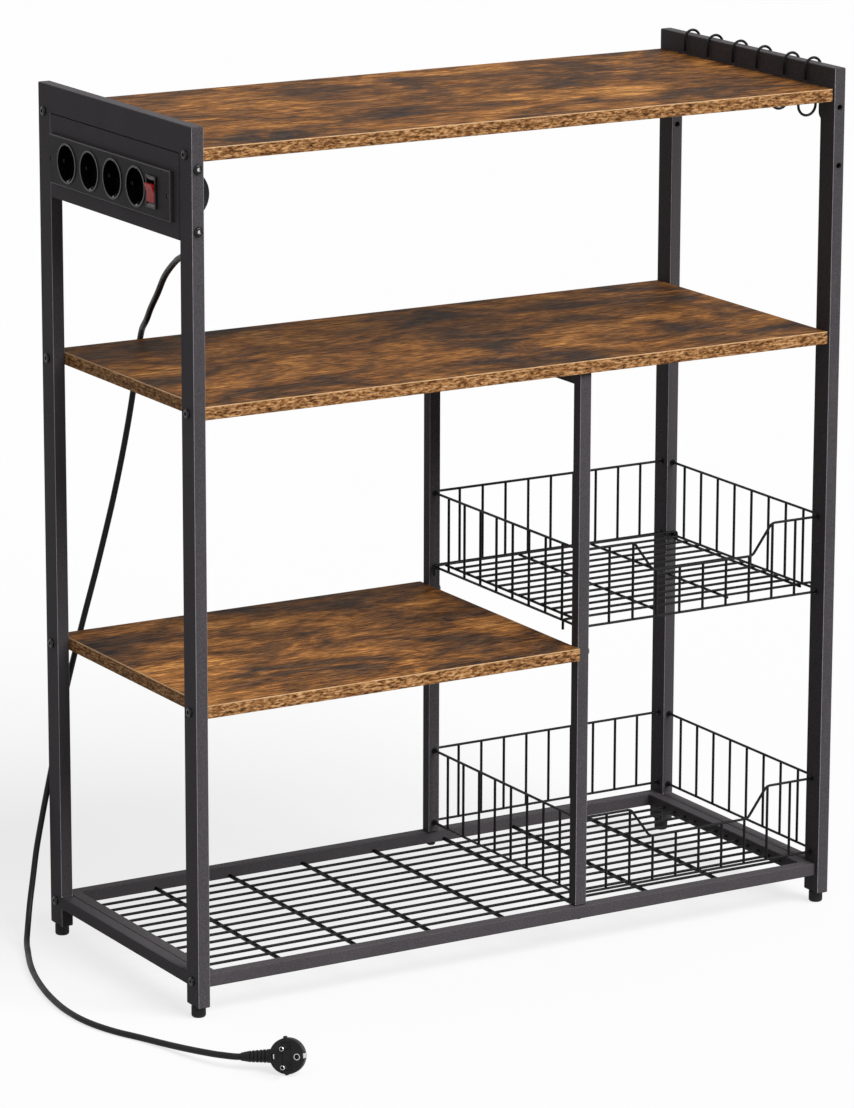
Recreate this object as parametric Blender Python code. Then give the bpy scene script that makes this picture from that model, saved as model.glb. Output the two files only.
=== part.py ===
"""Kitchen shelf: two welded tube side frames, three boards, a wire rack, two wire baskets,
a row of mains sockets with a switch and a lead, and hooks that hang on the right side frame.

Metres, +Z up. Sizes are given from the left posts' outer faces (X), from the posts' front
faces (Y) and from the floor (Z). An empty carries everything, so that the origin lies on the
floor under the middle of the shelf's box.
"""
import bpy
import bmesh
from math import cos, hypot, pi, radians, sin, sqrt
from mathutils import Matrix, Vector

# The whole shelf
WIDTH = 0.800
DEPTH = 0.345
HEIGHT = 0.945
GAP = 0.0003                    # clearance between pieces that touch
OVERRUN = 0.002                 # how far a cutter passes the face that it cuts
WELD = 0.0009                   # how deep crossing wires sink into each other at a weld

# Tubes of the frames
POST_WIDTH = 0.014
POST_DEPTH = 0.027
POST_BASE = 0.0125              # floor to the lower ends of the posts
TOP_RAIL_HEIGHT = 0.030
RAIL_TUBE = 0.014               # square tube of the low rails and of the middle frame
RAIL_BASE = 0.033               # floor to the low rails
TUBE_ROUNDING = 0.0015

# Boards
BOARD_THICKNESS = 0.014
BOARD_SETBACK = 0.003           # board edge behind the posts' front and rear faces
BOARD_EDGE = 0.0005
TOP_BOARD_DROP = 0.0225         # top of the frames to the top board
MIDDLE_BOARD_HEIGHT = 0.6555    # floor to the middle board's upper face
LOWER_BOARD_HEIGHT = 0.3395

# Middle frame
MIDDLE_POST_X = 0.4774          # centre of the middle posts
MIDDLE_POST_INSET = 0.0054      # their faces behind the boards' edges

# Wire rack under the lowest bay
RACK_SETBACK = 0.005
RACK_WIRE = 0.0032
RACK_WIRE_PITCH = 0.02165
RACK_WIRE_MARGIN = 0.030        # least distance from a rail to the first wire
RACK_BAR = 0.0046
RACK_BAR_COUNT = 7
RACK_WIRE_DROP = 0.0073         # top of the rails to the wires' centre line
ROOT = 0.003                    # how far a welded wire enters its rail

# Baskets
BASKET_WIRE = 0.003
BASKET_PANEL_HEIGHT = 0.0855    # bottom wire to rim, centre lines
UPPER_BASKET_RISE = 0.020       # lower board's upper face to the bottom wires
LOWER_BASKET_RISE = 0.0115      # rack rails' upper face to the bottom wires
LONG_PANEL_PITCH = 0.0303
SHORT_PANEL_PITCH = 0.0342
PANEL_MARGIN = 0.020            # least distance from a post to the first upright
EYELET_RADIUS = 0.0034
EYELET_THICKNESS = 0.0012
DIP_DEPTH = 0.034               # the front panels' lowered rim
DIP_START_SHARE = 0.2015        # where the rim starts to fall, as a share of the panel's length
DIP_SLOPE_SHARE = 0.0830
DIP_END_SHARE = 0.7980
TRAY_WIRE_PITCH = 0.0228
TRAY_FRONT_INSET = 0.0265       # front panel to the tray's first wire
TRAY_REAR_INSET = 0.0145
TRAY_SIDE_INSET = 0.012         # left panel to the tray's first cross bar
TRAY_BAR_COUNT = 4
TRAY_HOOK_DROP = 0.011
TRAY_HOOK_REACH = 0.0055

# Socket panel and strip
SHEET = 0.0012
SEAM = 0.0006                   # dark line between the panel and the tubes round it
PANEL_HEIGHT = 0.089
PANEL_FLANGE = 0.0125
STRIP_DROP = 0.0465             # top rail's lower edge to the strip's centre line
STRIP_SHIFT = 0.0025            # strip's middle behind the shelf's middle
STRIP_END_SPACE = 0.0095        # between the posts and the strip's ends, before the shift
STRIP_HEIGHT = 0.053
STRIP_PROUD = 0.005
STRIP_ROUNDING = 0.0018
STRIP_WALL = 0.002
STRIP_FLAT = 0.013              # straight part of the housing's D section
STRIP_SCREW_INSET = 0.0049      # strip's end to its screw
STRIP_SCREW_RADIUS = 0.0027
STRIP_SCREW_SINK = 0.0018
SOCKET_COUNT = 4
# What the sockets and the switch leave free of the strip's length, shared out from its
# rear end: before each socket, before the switch and after it
STRIP_SPACE_SHARES = (0.260, 0.115, 0.115, 0.115, 0.0525, 0.3425)
SOCKET_RADIUS = 0.0205
SOCKET_RIM = 0.0010             # rim beyond the well's outside
SOCKET_RIM_PROUD = 0.0008
SOCKET_WALL = 0.0011
SOCKET_DEPTH = 0.0175
SOCKET_FLOOR = 0.002
PIN_SPACING = 0.019
PIN_HOLE_RADIUS = 0.0027
BEZEL_HEIGHT = 0.0335
BEZEL_WIDTH = 0.021
BEZEL_PROUD = 0.0022
BEZEL_EDGE = 0.0005
SWITCH_HEIGHT = 0.0300
SWITCH_WIDTH = 0.0196
SWITCH_DEPTH = 0.020
ROCKER_HEIGHT = 0.0200
ROCKER_WIDTH = 0.0160
ROCKER_RISE = 0.0040            # pivot to the middle of the rocker's face
ROCKER_SINK = 0.0030            # pivot to the rocker's back
ROCKER_SET = 0.0036             # bezel's face to the pivot
ROCKER_BACK_SHARE = 0.7         # the rocker's back is narrower than its face
ROCKER_TILT = radians(10)
ROCKER_PLAY = 0.0005
TRUNNION_RADIUS = 0.0013
TRUNNION_LENGTH = 0.0012
BUSBAR_HEIGHT = 0.006
BUSBAR_THICKNESS = 0.0008
BUSBAR_SPREAD = 0.009           # live and neutral bars above and below the sockets' centre line
TAB_WIDTH = 0.005
EARTH_BAR_SET = 0.006
EARTH_LEG_START = 0.003         # panel's face to the front ends of the earth bar's legs
LEAD_X = 0.020                  # where the lead leaves the strip
LEAD_INSET = 0.0115             # strip's front end to the lead
GLAND_LENGTH = 0.022
GLAND_SHAPE = ((0, 0.0062), (0.12, 0.0062), (0.35, 0.0057), (0.64, 0.0051), (0.82, 0.0047),
               (1, 0.0043))     # shares of its length, with the radius at each
GLAND_SPIGOT_RADIUS = 0.0046
GLAND_SPIGOT = 0.005

# Bolts
BOLT_RADIUS = 0.003
BOLT_PLAY = 0.0003
BOLT_BITE = 0.020               # how far a bolt passes the post
BOLT_HEAD_RADIUS = 0.0050
BOLT_HEAD_HEIGHT = 0.0028
BOLT_CROWN_SHARE = 0.7          # flat top of the head, of its radius
HEX_RADIUS = 0.0021
HEX_DEPTH = 0.0016
PANEL_BOLT_TOP = 0.043          # top of the frames to the panel's upper bolts
PANEL_BOLT_PITCH = 0.0637
PANEL_BOLT_BITE = 0.006

# Levelling feet
FOOT_RADIUS = 0.0077
FOOT_SOLE_RADIUS = 0.0054
FOOT_BEVEL_SHARE = 0.25         # of the foot's height
STEM_RADIUS = 0.0035
STEM_LENGTH = 0.020
STEM_PLAY = 0.0003

# Hooks on the right side frame
HOOK_WIRE = 0.003
HOOK_RADIUS = 0.010             # centre line over the rail
HOOK_TAIL = 0.0135              # straight inner leg
HOOK_LEG = 0.0495               # straight outer leg
HOOK_LOOP_RADIUS = 0.0115
HOOK_TIP = 0.006
HOOK_SHARES = (0.1504, 0.2704, 0.4252, 0.5623, 0.7061, 0.8412)   # of the shelf's depth

# Mains lead and plug
LEAD_RADIUS = 0.0034
LEAD_STRAIGHT = 0.014           # how far it goes straight down under the strip
LEAD_BEND_RADIUS = 0.0275
LEAD_BEND = radians(62)
LEAD_HEADING = radians(71.6)    # where it bends to, from +X towards +Y
LEAD_BEND_STEP = 0.0047
LEAD_SQUARE = 0.0012            # straight ends where it meets the sleeve
LEAD_STEP = 0.0203              # distance between the tube's points
PLUG_RADIUS = 0.0185
PLUG_THICKNESS = 0.017
PLUG_BACK_RADIUS = 0.0140
PLUG_SHOULDER = 0.010
PLUG_TAIL_SET = 0.008           # plug's face to the lead's axis
PLUG_TAIL_START = 0.009
PLUG_TAIL_END = 0.050
PLUG_NECK_RADIUS = 0.0078         # tail's radius in the body
PLUG_WAIST_RADIUS = 0.0060        # and past its last rib
PLUG_GROOVE = 0.0012
PLUG_RIB_START = 0.0200
PLUG_RIB_PITCH = 0.0040
PLUG_RIB_COUNT = 5
PLUG_RIB_SHARE = 0.55           # raised part of each rib's pitch
PLUG_RIB_EDGE_SHARE = 0.05
PLUG_END_RADIUS = 0.0042
PLUG_PIN_RADIUS = 0.0024
PLUG_PIN_LENGTH = 0.019
PIN_BRIDGE_WIDTH = 0.009
PIN_BRIDGE_DEPTH = 0.004
PIN_ROUND = 0.0008
PLUG_PLACE = (-0.0017, -0.1919, 0.0204)     # middle of the plug's face
PLUG_TAIL_DIRECTION = (-0.728, 0.678, -0.106)
PLUG_LEAN = radians(12.5)         # the face looks up by this much

# The lead's route, chosen by hand: down from the gland, back over the middle board's rear
# edge, down behind the shelf, to the floor beside it and forward to the plug
LEAD_ROUTE = (
    (0.0370, 0.1040, 0.7890), (0.0570, 0.1700, 0.7585), (0.0725, 0.2150, 0.7320),
    (0.0885, 0.2620, 0.7058), (0.1040, 0.3020, 0.6846), (0.1121, 0.3232, 0.6750),
    (0.1160, 0.3335, 0.6703), (0.1186, 0.3410, 0.6653), (0.1202, 0.3469, 0.6582),
    (0.1206, 0.3507, 0.6496), (0.1198, 0.3520, 0.6403), (0.1180, 0.3520, 0.6284),
    (0.1130, 0.3520, 0.5970), (0.0920, 0.3520, 0.4990), (0.0680, 0.3520, 0.4120),
    (0.0460, 0.3520, 0.3400), (0.0260, 0.3520, 0.2700), (0.0080, 0.3520, 0.1890),
    (-0.0060, 0.3520, 0.1280), (-0.0140, 0.3505, 0.0930), (-0.0205, 0.3460, 0.0660),
    (-0.0285, 0.3385, 0.0400), (-0.0375, 0.3260, 0.0190), (-0.0480, 0.3080, 0.0074),
    (-0.0590, 0.2830, 0.0040), (-0.0760, 0.2420, 0.0035), (-0.0930, 0.1890, 0.0035),
    (-0.1050, 0.1330, 0.0035), (-0.1095, 0.0860, 0.0035), (-0.1070, 0.0480, 0.0035),
    (-0.0960, 0.0070, 0.0035), (-0.0820, -0.0242, 0.0036), (-0.0714, -0.0549, 0.0048),
    (-0.0630, -0.0846, 0.0072), (-0.0549, -0.1119, 0.0099), (-0.0454, -0.1350, 0.0120),
)

RING_SIDES = 12
ARC_STEPS = 6
HOUSING_STEPS = 12
PLUG_TAIL_SIDES = 8
BORE_SIDES = 8
WIRE_SIDES = 6
BASKET_WIRE_SIDES = 5
WELL_SIDES = 20

# Colour, roughness and metallic value of each material
FINISHES = {
    "powder_coat": ((0.030, 0.028, 0.030), 0.55, 0.4),
    "rustic_board": ((0.300, 0.150, 0.070), 0.60, 0.0),
    "black_wire": ((0.015, 0.014, 0.015), 0.45, 0.5),
    "black_plastic": ((0.020, 0.020, 0.021), 0.50, 0.0),
    "socket_plastic": ((0.008, 0.008, 0.009), 0.40, 0.0),
    "red_lens": ((0.500, 0.015, 0.020), 0.20, 0.0),
    "brass": ((0.700, 0.520, 0.200), 0.35, 1.0),
    "nickel": ((0.700, 0.700, 0.690), 0.25, 1.0),
    "bolt_steel": ((0.020, 0.020, 0.022), 0.35, 0.8),
    "rubber": ((0.012, 0.012, 0.012), 0.70, 0.0),
}

# Places that several pieces share
inner_left = POST_WIDTH + GAP
inner_right = WIDTH - POST_WIDTH - GAP
post_centre = POST_DEPTH / 2
middle_post_y = BOARD_SETBACK + MIDDLE_POST_INSET + RAIL_TUBE / 2
middle_left = MIDDLE_POST_X - RAIL_TUBE / 2
middle_right = MIDDLE_POST_X + RAIL_TUBE / 2
rail_top = RAIL_BASE + RAIL_TUBE
top_rail_base = HEIGHT - TOP_RAIL_HEIGHT
top_board_height = HEIGHT - TOP_BOARD_DROP
board_heights = (top_board_height, MIDDLE_BOARD_HEIGHT, LOWER_BOARD_HEIGHT)
bolt_heights = tuple(height - BOARD_THICKNESS / 2 for height in board_heights)
rack_bolt_height = RAIL_BASE + RAIL_TUBE / 2
panel_bolt_heights = (HEIGHT - PANEL_BOLT_TOP, HEIGHT - PANEL_BOLT_TOP - PANEL_BOLT_PITCH)
strip_y = DEPTH / 2 + STRIP_SHIFT
strip_z = top_rail_base - STRIP_DROP
strip_length = DEPTH - 2 * (POST_DEPTH + STRIP_END_SPACE)
strip_front = strip_y - strip_length / 2
strip_rear = strip_y + strip_length / 2
strip_widths = [2 * (SOCKET_RADIUS + SOCKET_RIM)] * SOCKET_COUNT + [BEZEL_WIDTH]
strip_free = strip_length - sum(strip_widths)
# Middles of the sockets and of the switch, from the rear to the front
strip_places = [strip_rear - strip_free * sum(STRIP_SPACE_SHARES[:number + 1])
                - sum(strip_widths[:number]) - width / 2
                for number, width in enumerate(strip_widths)]
socket_places = strip_places[:SOCKET_COUNT]
switch_y = strip_places[SOCKET_COUNT]
lead_y = strip_front + LEAD_INSET
bezel_face = -STRIP_PROUD - BEZEL_PROUD
bolt_hole = BOLT_RADIUS + BOLT_PLAY
hook_reach = WIDTH - POST_WIDTH / 2 + HOOK_RADIUS + 2 * HOOK_LOOP_RADIUS + HOOK_WIRE / 2
rocker_pivot = bezel_face + ROCKER_SET
rocker_corner = ROCKER_RISE + ROCKER_HEIGHT / 2 * sin(ROCKER_TILT)
rocker_reach = (rocker_corner * cos(ROCKER_TILT) + ROCKER_HEIGHT / 2 * sin(ROCKER_TILT)
                - rocker_pivot)


def clear_scene():
    for item in list(bpy.data.objects):
        bpy.data.objects.remove(item, do_unlink=True)


def finish_material(name):
    if name in bpy.data.materials:
        return bpy.data.materials[name]
    colour, roughness, metallic = FINISHES[name]
    material = bpy.data.materials.new(name)
    material.use_nodes = True
    shader = material.node_tree.nodes["Principled BSDF"]
    shader.inputs["Base Color"].default_value = (*colour, 1.0)
    shader.inputs["Roughness"].default_value = roughness
    shader.inputs["Metallic"].default_value = metallic
    return material


def mesh_from(build):
    """Runs build on an empty bmesh and returns it as a mesh whose faces point out."""
    work = bmesh.new()
    build(work)
    bmesh.ops.recalc_face_normals(work, faces=work.faces)
    mesh = bpy.data.meshes.new("shape")
    work.to_mesh(mesh)
    work.free()
    return mesh


def place(name, mesh, finish, location=(0, 0, 0), rotation=None, smooth=False):
    """Adds a named piece under the shelf's empty, with its own material."""
    piece = bpy.data.objects.new(name, mesh)
    bpy.context.collection.objects.link(piece)
    material = finish_material(finish).copy()
    material.name = name + "_" + finish
    piece.parent = shelf
    piece.location = location
    if rotation is not None:
        piece.rotation_euler = rotation.to_euler()
    if not mesh.materials:
        mesh.materials.append(None)
    piece.material_slots[0].link = 'OBJECT'
    piece.material_slots[0].material = material
    if smooth:
        mesh.shade_smooth()
        mesh.set_sharp_from_angle(angle=radians(35))
    return piece


def soften(mesh, width, segments=1):
    """Rounds every sharp outward edge. Inward corners, where tubes meet, stay sharp."""
    def build(work):
        work.from_mesh(mesh)
        bmesh.ops.recalc_face_normals(work, faces=work.faces)
        sharp = [edge for edge in work.edges if edge.calc_face_angle_signed() > radians(50)]
        bmesh.ops.bevel(work, geom=sharp, offset=width, segments=segments, profile=0.5,
                        affect='EDGES', clamp_overlap=True)
    return mesh_from(build)


def evaluated(piece):
    """The piece's mesh with its modifiers applied, as a new mesh; the piece is removed."""
    graph = bpy.context.evaluated_depsgraph_get()
    graph.update()
    mesh = bpy.data.meshes.new_from_object(piece.evaluated_get(graph))
    bpy.data.objects.remove(piece, do_unlink=True)
    return mesh


def combined(base, operand, operation):
    """Exact Boolean of two meshes."""
    body = bpy.data.objects.new("body", base)
    tool = bpy.data.objects.new("tool", operand)
    for item in (body, tool):
        bpy.context.collection.objects.link(item)
    change = body.modifiers.new("join", 'BOOLEAN')
    change.solver = 'EXACT'
    change.operation = operation
    change.object = tool
    mesh = evaluated(body)
    bpy.data.objects.remove(tool, do_unlink=True)
    return mesh


def cut(base, *cutters):
    return combined(base, joined(*cutters), 'DIFFERENCE')


def joined(*meshes):
    """Meshes put side by side in one mesh."""
    def build(work):
        for mesh in meshes:
            work.from_mesh(mesh)
    return mesh_from(build)


def moved(mesh, matrix):
    mesh.transform(matrix)
    return mesh


def box(low, high):
    def build(work):
        size = Vector(high) - Vector(low)
        middle = (Vector(high) + Vector(low)) / 2
        matrix = Matrix.Translation(middle) @ Matrix.Diagonal((*size, 1.0))
        bmesh.ops.create_cube(work, size=1.0, matrix=matrix)
    return mesh_from(build)


def rounded_box(low, high, width, segments=1):
    return soften(box(low, high), width, segments)


def lattice(y_lines, z_lines, empty, low, high):
    """Cells between the lines, without the empty ones, extruded in X: a flat welded frame."""
    def build(work):
        corners = {(j, k): work.verts.new((low, y, z))
                   for j, y in enumerate(y_lines) for k, z in enumerate(z_lines)}
        for j in range(len(y_lines) - 1):
            for k in range(len(z_lines) - 1):
                if (j, k) not in empty:
                    ring = [(j, k), (j + 1, k), (j + 1, k + 1), (j, k + 1)]
                    work.faces.new([corners[item] for item in ring])
        loose = [vert for vert in work.verts if not vert.link_faces]
        bmesh.ops.delete(work, geom=loose, context='VERTS')
        result = bmesh.ops.extrude_face_region(work, geom=work.faces[:])
        raised = [item for item in result["geom"] if isinstance(item, bmesh.types.BMVert)]
        bmesh.ops.translate(work, verts=raised, vec=(high - low, 0, 0))
        bmesh.ops.dissolve_limit(work, angle_limit=radians(1), verts=work.verts[:],
                                 edges=work.edges[:])
    return mesh_from(build)


def rod(start, end, radius, sides=RING_SIDES):
    def build(work):
        axis = Vector(end) - Vector(start)
        turn = axis.to_track_quat('Z', 'Y').to_matrix().to_4x4()
        matrix = Matrix.Translation((Vector(start) + Vector(end)) / 2) @ turn
        bmesh.ops.create_cone(work, cap_ends=True, segments=sides, radius1=radius,
                              radius2=radius, depth=axis.length, matrix=matrix)
    return mesh_from(build)


def bore(start, end, radius, sides=BORE_SIDES):
    """A cutter for a round hole. Its flats, not its corners, lie on the radius."""
    return rod(start, end, radius / cos(pi / sides), sides)


def turned(profile, sides=RING_SIDES, hexagonal=()):
    """A profile of (radius, height) pairs turned round Z. The first and last radius are 0.
    Rings whose place is in hexagonal become hexagons."""
    def build(work):
        rings = []
        for number, (radius, height) in enumerate(profile):
            if radius == 0:
                rings.append([work.verts.new((0, 0, height))])
                continue
            ring = []
            for side in range(sides):
                angle = 2 * pi * side / sides
                flat = cos(pi / 6) if number in hexagonal and side % 2 else 1
                ring.append(work.verts.new((radius * flat * cos(angle),
                                            radius * flat * sin(angle), height)))
            rings.append(ring)
        for lower, upper in zip(rings, rings[1:]):
            for side in range(sides):
                after = (side + 1) % sides
                if len(lower) == 1:
                    work.faces.new((lower[0], upper[after], upper[side]))
                elif len(upper) == 1:
                    work.faces.new((lower[side], lower[after], upper[0]))
                else:
                    work.faces.new((lower[side], lower[after], upper[after], upper[side]))
    return mesh_from(build)


def swept(path, radii, sides=WIRE_SIDES):
    """A round wire along a path. radii is one radius, or one for each point; two points in
    the same place with unlike radii make a step."""
    path = [Vector(point) for point in path]
    if not isinstance(radii, (list, tuple)):
        radii = [radii] * len(path)

    def build(work):
        directions = []
        for number, point in enumerate(path):
            before = [other for other in path[:number] if (point - other).length > 1e-9]
            after = [other for other in path[number + 1:] if (other - point).length > 1e-9]
            into = (point - before[-1]).normalized() if before else None
            out = (after[0] - point).normalized() if after else None
            directions.append((into or out, out or into))
        across = directions[0][0].orthogonal().normalized()
        rings = []
        for point, radius, (into, out) in zip(path, radii, directions):
            along = (into + out).normalized()
            across = (across - into * across.dot(into)).normalized()
            beside = into.cross(across)
            stretch = 1 / max(along.dot(into), 0.3)
            bend = out - into
            ring = []
            for side in range(sides):
                angle = 2 * pi * (side + 0.5) / sides
                spoke = across * cos(angle) + beside * sin(angle)
                spoke = spoke - along * spoke.dot(along)
                if bend.length > 1e-6:
                    bend_direction = (bend - along * bend.dot(along)).normalized()
                    flat = spoke.dot(bend_direction)
                    length = flat * along.dot(into)
                    spoke = spoke + bend_direction * (length * stretch * stretch - flat)
                ring.append(work.verts.new(point + spoke * radius))
            rings.append(ring)
            across = (across - out * across.dot(out)).normalized()
        for lower, upper in zip(rings, rings[1:]):
            for side in range(sides):
                after = (side + 1) % sides
                work.faces.new((lower[side], lower[after], upper[after], upper[side]))
        work.faces.new(list(reversed(rings[0])))
        work.faces.new(rings[-1])
    return mesh_from(build)


def arc(centre, radius, start, end):
    """Points of an arc in the X-Z plane, its angles taken from +X towards +Z."""
    angles = [start + (end - start) * step / ARC_STEPS for step in range(ARC_STEPS + 1)]
    return [(centre[0] + radius * cos(angle), 0, centre[1] + radius * sin(angle))
            for angle in angles]


def spread(length, margin, pitch):
    """Offsets from the middle of a row with this pitch that keeps the margin at both ends."""
    count = int((length - 2 * margin) / pitch) + 1
    return [pitch * (number - (count - 1) / 2) for number in range(count)]


def smooth_route(points, step):
    """Catmull-Rom curve through the points, read off at even steps."""
    points = [Vector(point) for point in points]
    ends = [2 * points[0] - points[1]] + points + [2 * points[-1] - points[-2]]
    fine = []
    for before, start, end, after in zip(ends, ends[1:], ends[2:], ends[3:]):
        for number in range(20):
            t = number / 20
            fine.append(0.5 * (2 * start + (end - before) * t
                               + (2 * before - 5 * start + 4 * end - after) * t ** 2
                               + (3 * start - before - 3 * end + after) * t ** 3))
    fine.append(points[-1])
    total = sum((b - a).length for a, b in zip(fine, fine[1:]))
    count = round(total / step)
    read, walked, number = [fine[0]], 0.0, 0
    for share in range(1, count):
        target = total * share / count
        while walked + (fine[number + 1] - fine[number]).length < target:
            walked += (fine[number + 1] - fine[number]).length
            number += 1
        part = (target - walked) / (fine[number + 1] - fine[number]).length
        read.append(fine[number].lerp(fine[number + 1], part))
    read.append(fine[-1])
    return read, total


def bolt_mesh(length):
    """Button head bolt with a hex socket. It runs along +Z and its head is below zero."""
    head = BOLT_HEAD_HEIGHT
    profile = [
        (0, HEX_DEPTH - head), (HEX_RADIUS, HEX_DEPTH - head), (HEX_RADIUS, -head),
        (BOLT_HEAD_RADIUS * BOLT_CROWN_SHARE, -head), (BOLT_HEAD_RADIUS, -GAP),
        (BOLT_RADIUS, -GAP), (BOLT_RADIUS, length), (0, length)]
    return turned(profile, hexagonal=(1, 2))


def side_frame(name, low, heights):
    """Two posts, a deep top rail and a low rail, welded into one flat frame."""
    high = low + POST_WIDTH
    mesh = lattice((0, POST_DEPTH, DEPTH - POST_DEPTH, DEPTH),
                   (POST_BASE, RAIL_BASE, rail_top, top_rail_base, HEIGHT),
                   {(1, 0), (1, 2)}, low, high)
    mesh = soften(mesh, TUBE_ROUNDING)
    middle = (low + high) / 2
    cutters = []
    for y in (post_centre, DEPTH - post_centre):
        for z in heights:
            cutters.append(bore((low - OVERRUN, y, z), (high + OVERRUN, y, z), bolt_hole))
        for z in panel_bolt_heights:
            cutters.append(bore((middle, y - post_centre - OVERRUN, z),
                                (middle, y + post_centre + OVERRUN, z), bolt_hole))
        stem_top = POST_BASE + STEM_LENGTH + STEM_PLAY
        cutters.append(bore((middle, y, POST_BASE - OVERRUN), (middle, y, stem_top),
                            STEM_RADIUS + STEM_PLAY))
    return place(name, cut(mesh, *cutters), "powder_coat")


def side_frames():
    side_frame("left_side_frame", 0, (*bolt_heights, rack_bolt_height))
    side_frame("right_side_frame", WIDTH - POST_WIDTH, (*bolt_heights[:2], rack_bolt_height))


def middle_frame():
    """Two slim posts on the rack, joined by a cross rail under the middle board."""
    front = middle_post_y - RAIL_TUBE / 2
    top = MIDDLE_BOARD_HEIGHT - BOARD_THICKNESS - GAP
    mesh = lattice((front, front + RAIL_TUBE, DEPTH - front - RAIL_TUBE, DEPTH - front),
                   (rail_top + GAP, top - RAIL_TUBE, top), {(1, 0)}, middle_left, middle_right)
    mesh = soften(mesh, TUBE_ROUNDING)
    cutters = []
    for y in (middle_post_y, DEPTH - middle_post_y):
        cutters.append(bore((middle_left - OVERRUN, y, bolt_heights[2]),
                            (middle_right + OVERRUN, y, bolt_heights[2]), bolt_hole))
    place("middle_frame", cut(mesh, *cutters), "powder_coat")


def board(name, height, right, right_hole_y):
    mesh = rounded_box((inner_left, BOARD_SETBACK, height - BOARD_THICKNESS),
                       (right, DEPTH - BOARD_SETBACK, height), BOARD_EDGE)
    centre = height - BOARD_THICKNESS / 2
    deep = BOLT_BITE + BOLT_PLAY
    cutters = []
    for y in (post_centre, DEPTH - post_centre):
        cutters.append(bore((inner_left - OVERRUN, y, centre), (inner_left + deep, y, centre),
                            bolt_hole))
    for y in (right_hole_y, DEPTH - right_hole_y):
        cutters.append(bore((right - deep, y, centre), (right + OVERRUN, y, centre), bolt_hole))
    place(name, cut(mesh, *cutters), "rustic_board")


def boards():
    board("top_board", top_board_height, inner_right, post_centre)
    board("middle_board", MIDDLE_BOARD_HEIGHT, inner_right, post_centre)
    board("lower_board", LOWER_BOARD_HEIGHT, middle_left - GAP, middle_post_y)


def bottom_rack():
    """Square tube frame with long thin wires over thicker cross bars, all welded to it."""
    front, rear = RACK_SETBACK, DEPTH - RACK_SETBACK
    outer = rounded_box((inner_left, front, RAIL_BASE), (inner_right, rear, rail_top),
                        TUBE_ROUNDING)
    window = box((inner_left + RAIL_TUBE, front + RAIL_TUBE, RAIL_BASE - OVERRUN),
                 (inner_right - RAIL_TUBE, rear - RAIL_TUBE, rail_top + OVERRUN))
    deep = BOLT_BITE + BOLT_PLAY
    holes = []
    for y in (post_centre, DEPTH - post_centre):
        for x, into in ((inner_left, 1), (inner_right, -1)):
            holes.append(bore((x - into * OVERRUN, y, rack_bolt_height),
                              (x + into * deep, y, rack_bolt_height), bolt_hole))
    mesh = cut(outer, window, *holes)
    wire_z = rail_top - RACK_WIRE_DROP
    bar_z = wire_z - (RACK_WIRE + RACK_BAR) / 2 - GAP
    left, right = inner_left + RAIL_TUBE, inner_right - RAIL_TUBE
    wires = []
    for offset in spread(rear - front - 2 * RAIL_TUBE, RACK_WIRE_MARGIN, RACK_WIRE_PITCH):
        y = DEPTH / 2 + offset
        wires.append(swept([(left - ROOT, y, wire_z), (right + ROOT, y, wire_z)], RACK_WIRE / 2))
    bars = []
    for number in range(RACK_BAR_COUNT):
        x = left + (right - left) * (number + 1) / (RACK_BAR_COUNT + 1)
        bars.append(swept([(x, front + RAIL_TUBE - ROOT, bar_z), (x, rear - RAIL_TUBE + ROOT, bar_z)],
                          RACK_BAR / 2))
    place("bottom_rack", combined(mesh, joined(*bars, *wires), 'UNION'), "powder_coat")


def wire_with_eyelets(path):
    """A wire whose ends carry flat eyelets that sit against the posts."""
    start, end = Vector(path[0]), Vector(path[-1])
    first = (Vector(path[1]) - start).normalized() * EYELET_THICKNESS
    last = (Vector(path[-2]) - end).normalized() * EYELET_THICKNESS
    whole = [start, start + first, start + first, *path[1:-1], end + last, end + last, end]
    thin, wide = BASKET_WIRE / 2, EYELET_RADIUS
    radii = [wide, wide, thin] + [thin] * (len(path) - 2) + [thin, wide, wide]
    return swept(whole, radii, BASKET_WIRE_SIDES)


def basket_panel(name, start, end, base, pitch, dipped=False):
    """Rim, bottom wire and uprights between two posts. start and end are (x, y)."""
    start, end = Vector((*start, 0)), Vector((*end, 0))
    length = (end - start).length
    along = (end - start) / length
    rim_z = base + BASKET_PANEL_HEIGHT
    shares = [(0, 0), (1, 0)]
    if dipped:
        shares = [(0, 0), (DIP_START_SHARE, 0), (DIP_START_SHARE + DIP_SLOPE_SHARE, 1),
                  (DIP_END_SHARE - DIP_SLOPE_SHARE, 1), (DIP_END_SHARE, 0), (1, 0)]
    rim = [start + along * length * share + Vector((0, 0, rim_z - DIP_DEPTH * low))
           for share, low in shares]
    bottom = [start + Vector((0, 0, base)), end + Vector((0, 0, base))]
    uprights = []
    for offset in spread(length, PANEL_MARGIN, pitch):
        place_along = length / 2 + offset
        foot = start + along * place_along
        for (share, low), (next_share, next_low) in zip(shares, shares[1:]):
            if share * length <= place_along <= next_share * length:
                part = (place_along / length - share) / (next_share - share)
                drop = DIP_DEPTH * (low + (next_low - low) * part)
        uprights.append(swept([foot + Vector((0, 0, base)), foot + Vector((0, 0, rim_z - drop))],
                              BASKET_WIRE / 2, BASKET_WIRE_SIDES))
    rails = joined(wire_with_eyelets(rim), wire_with_eyelets(bottom))
    place(name, combined(rails, joined(*uprights), 'UNION'), "black_wire")


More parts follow.
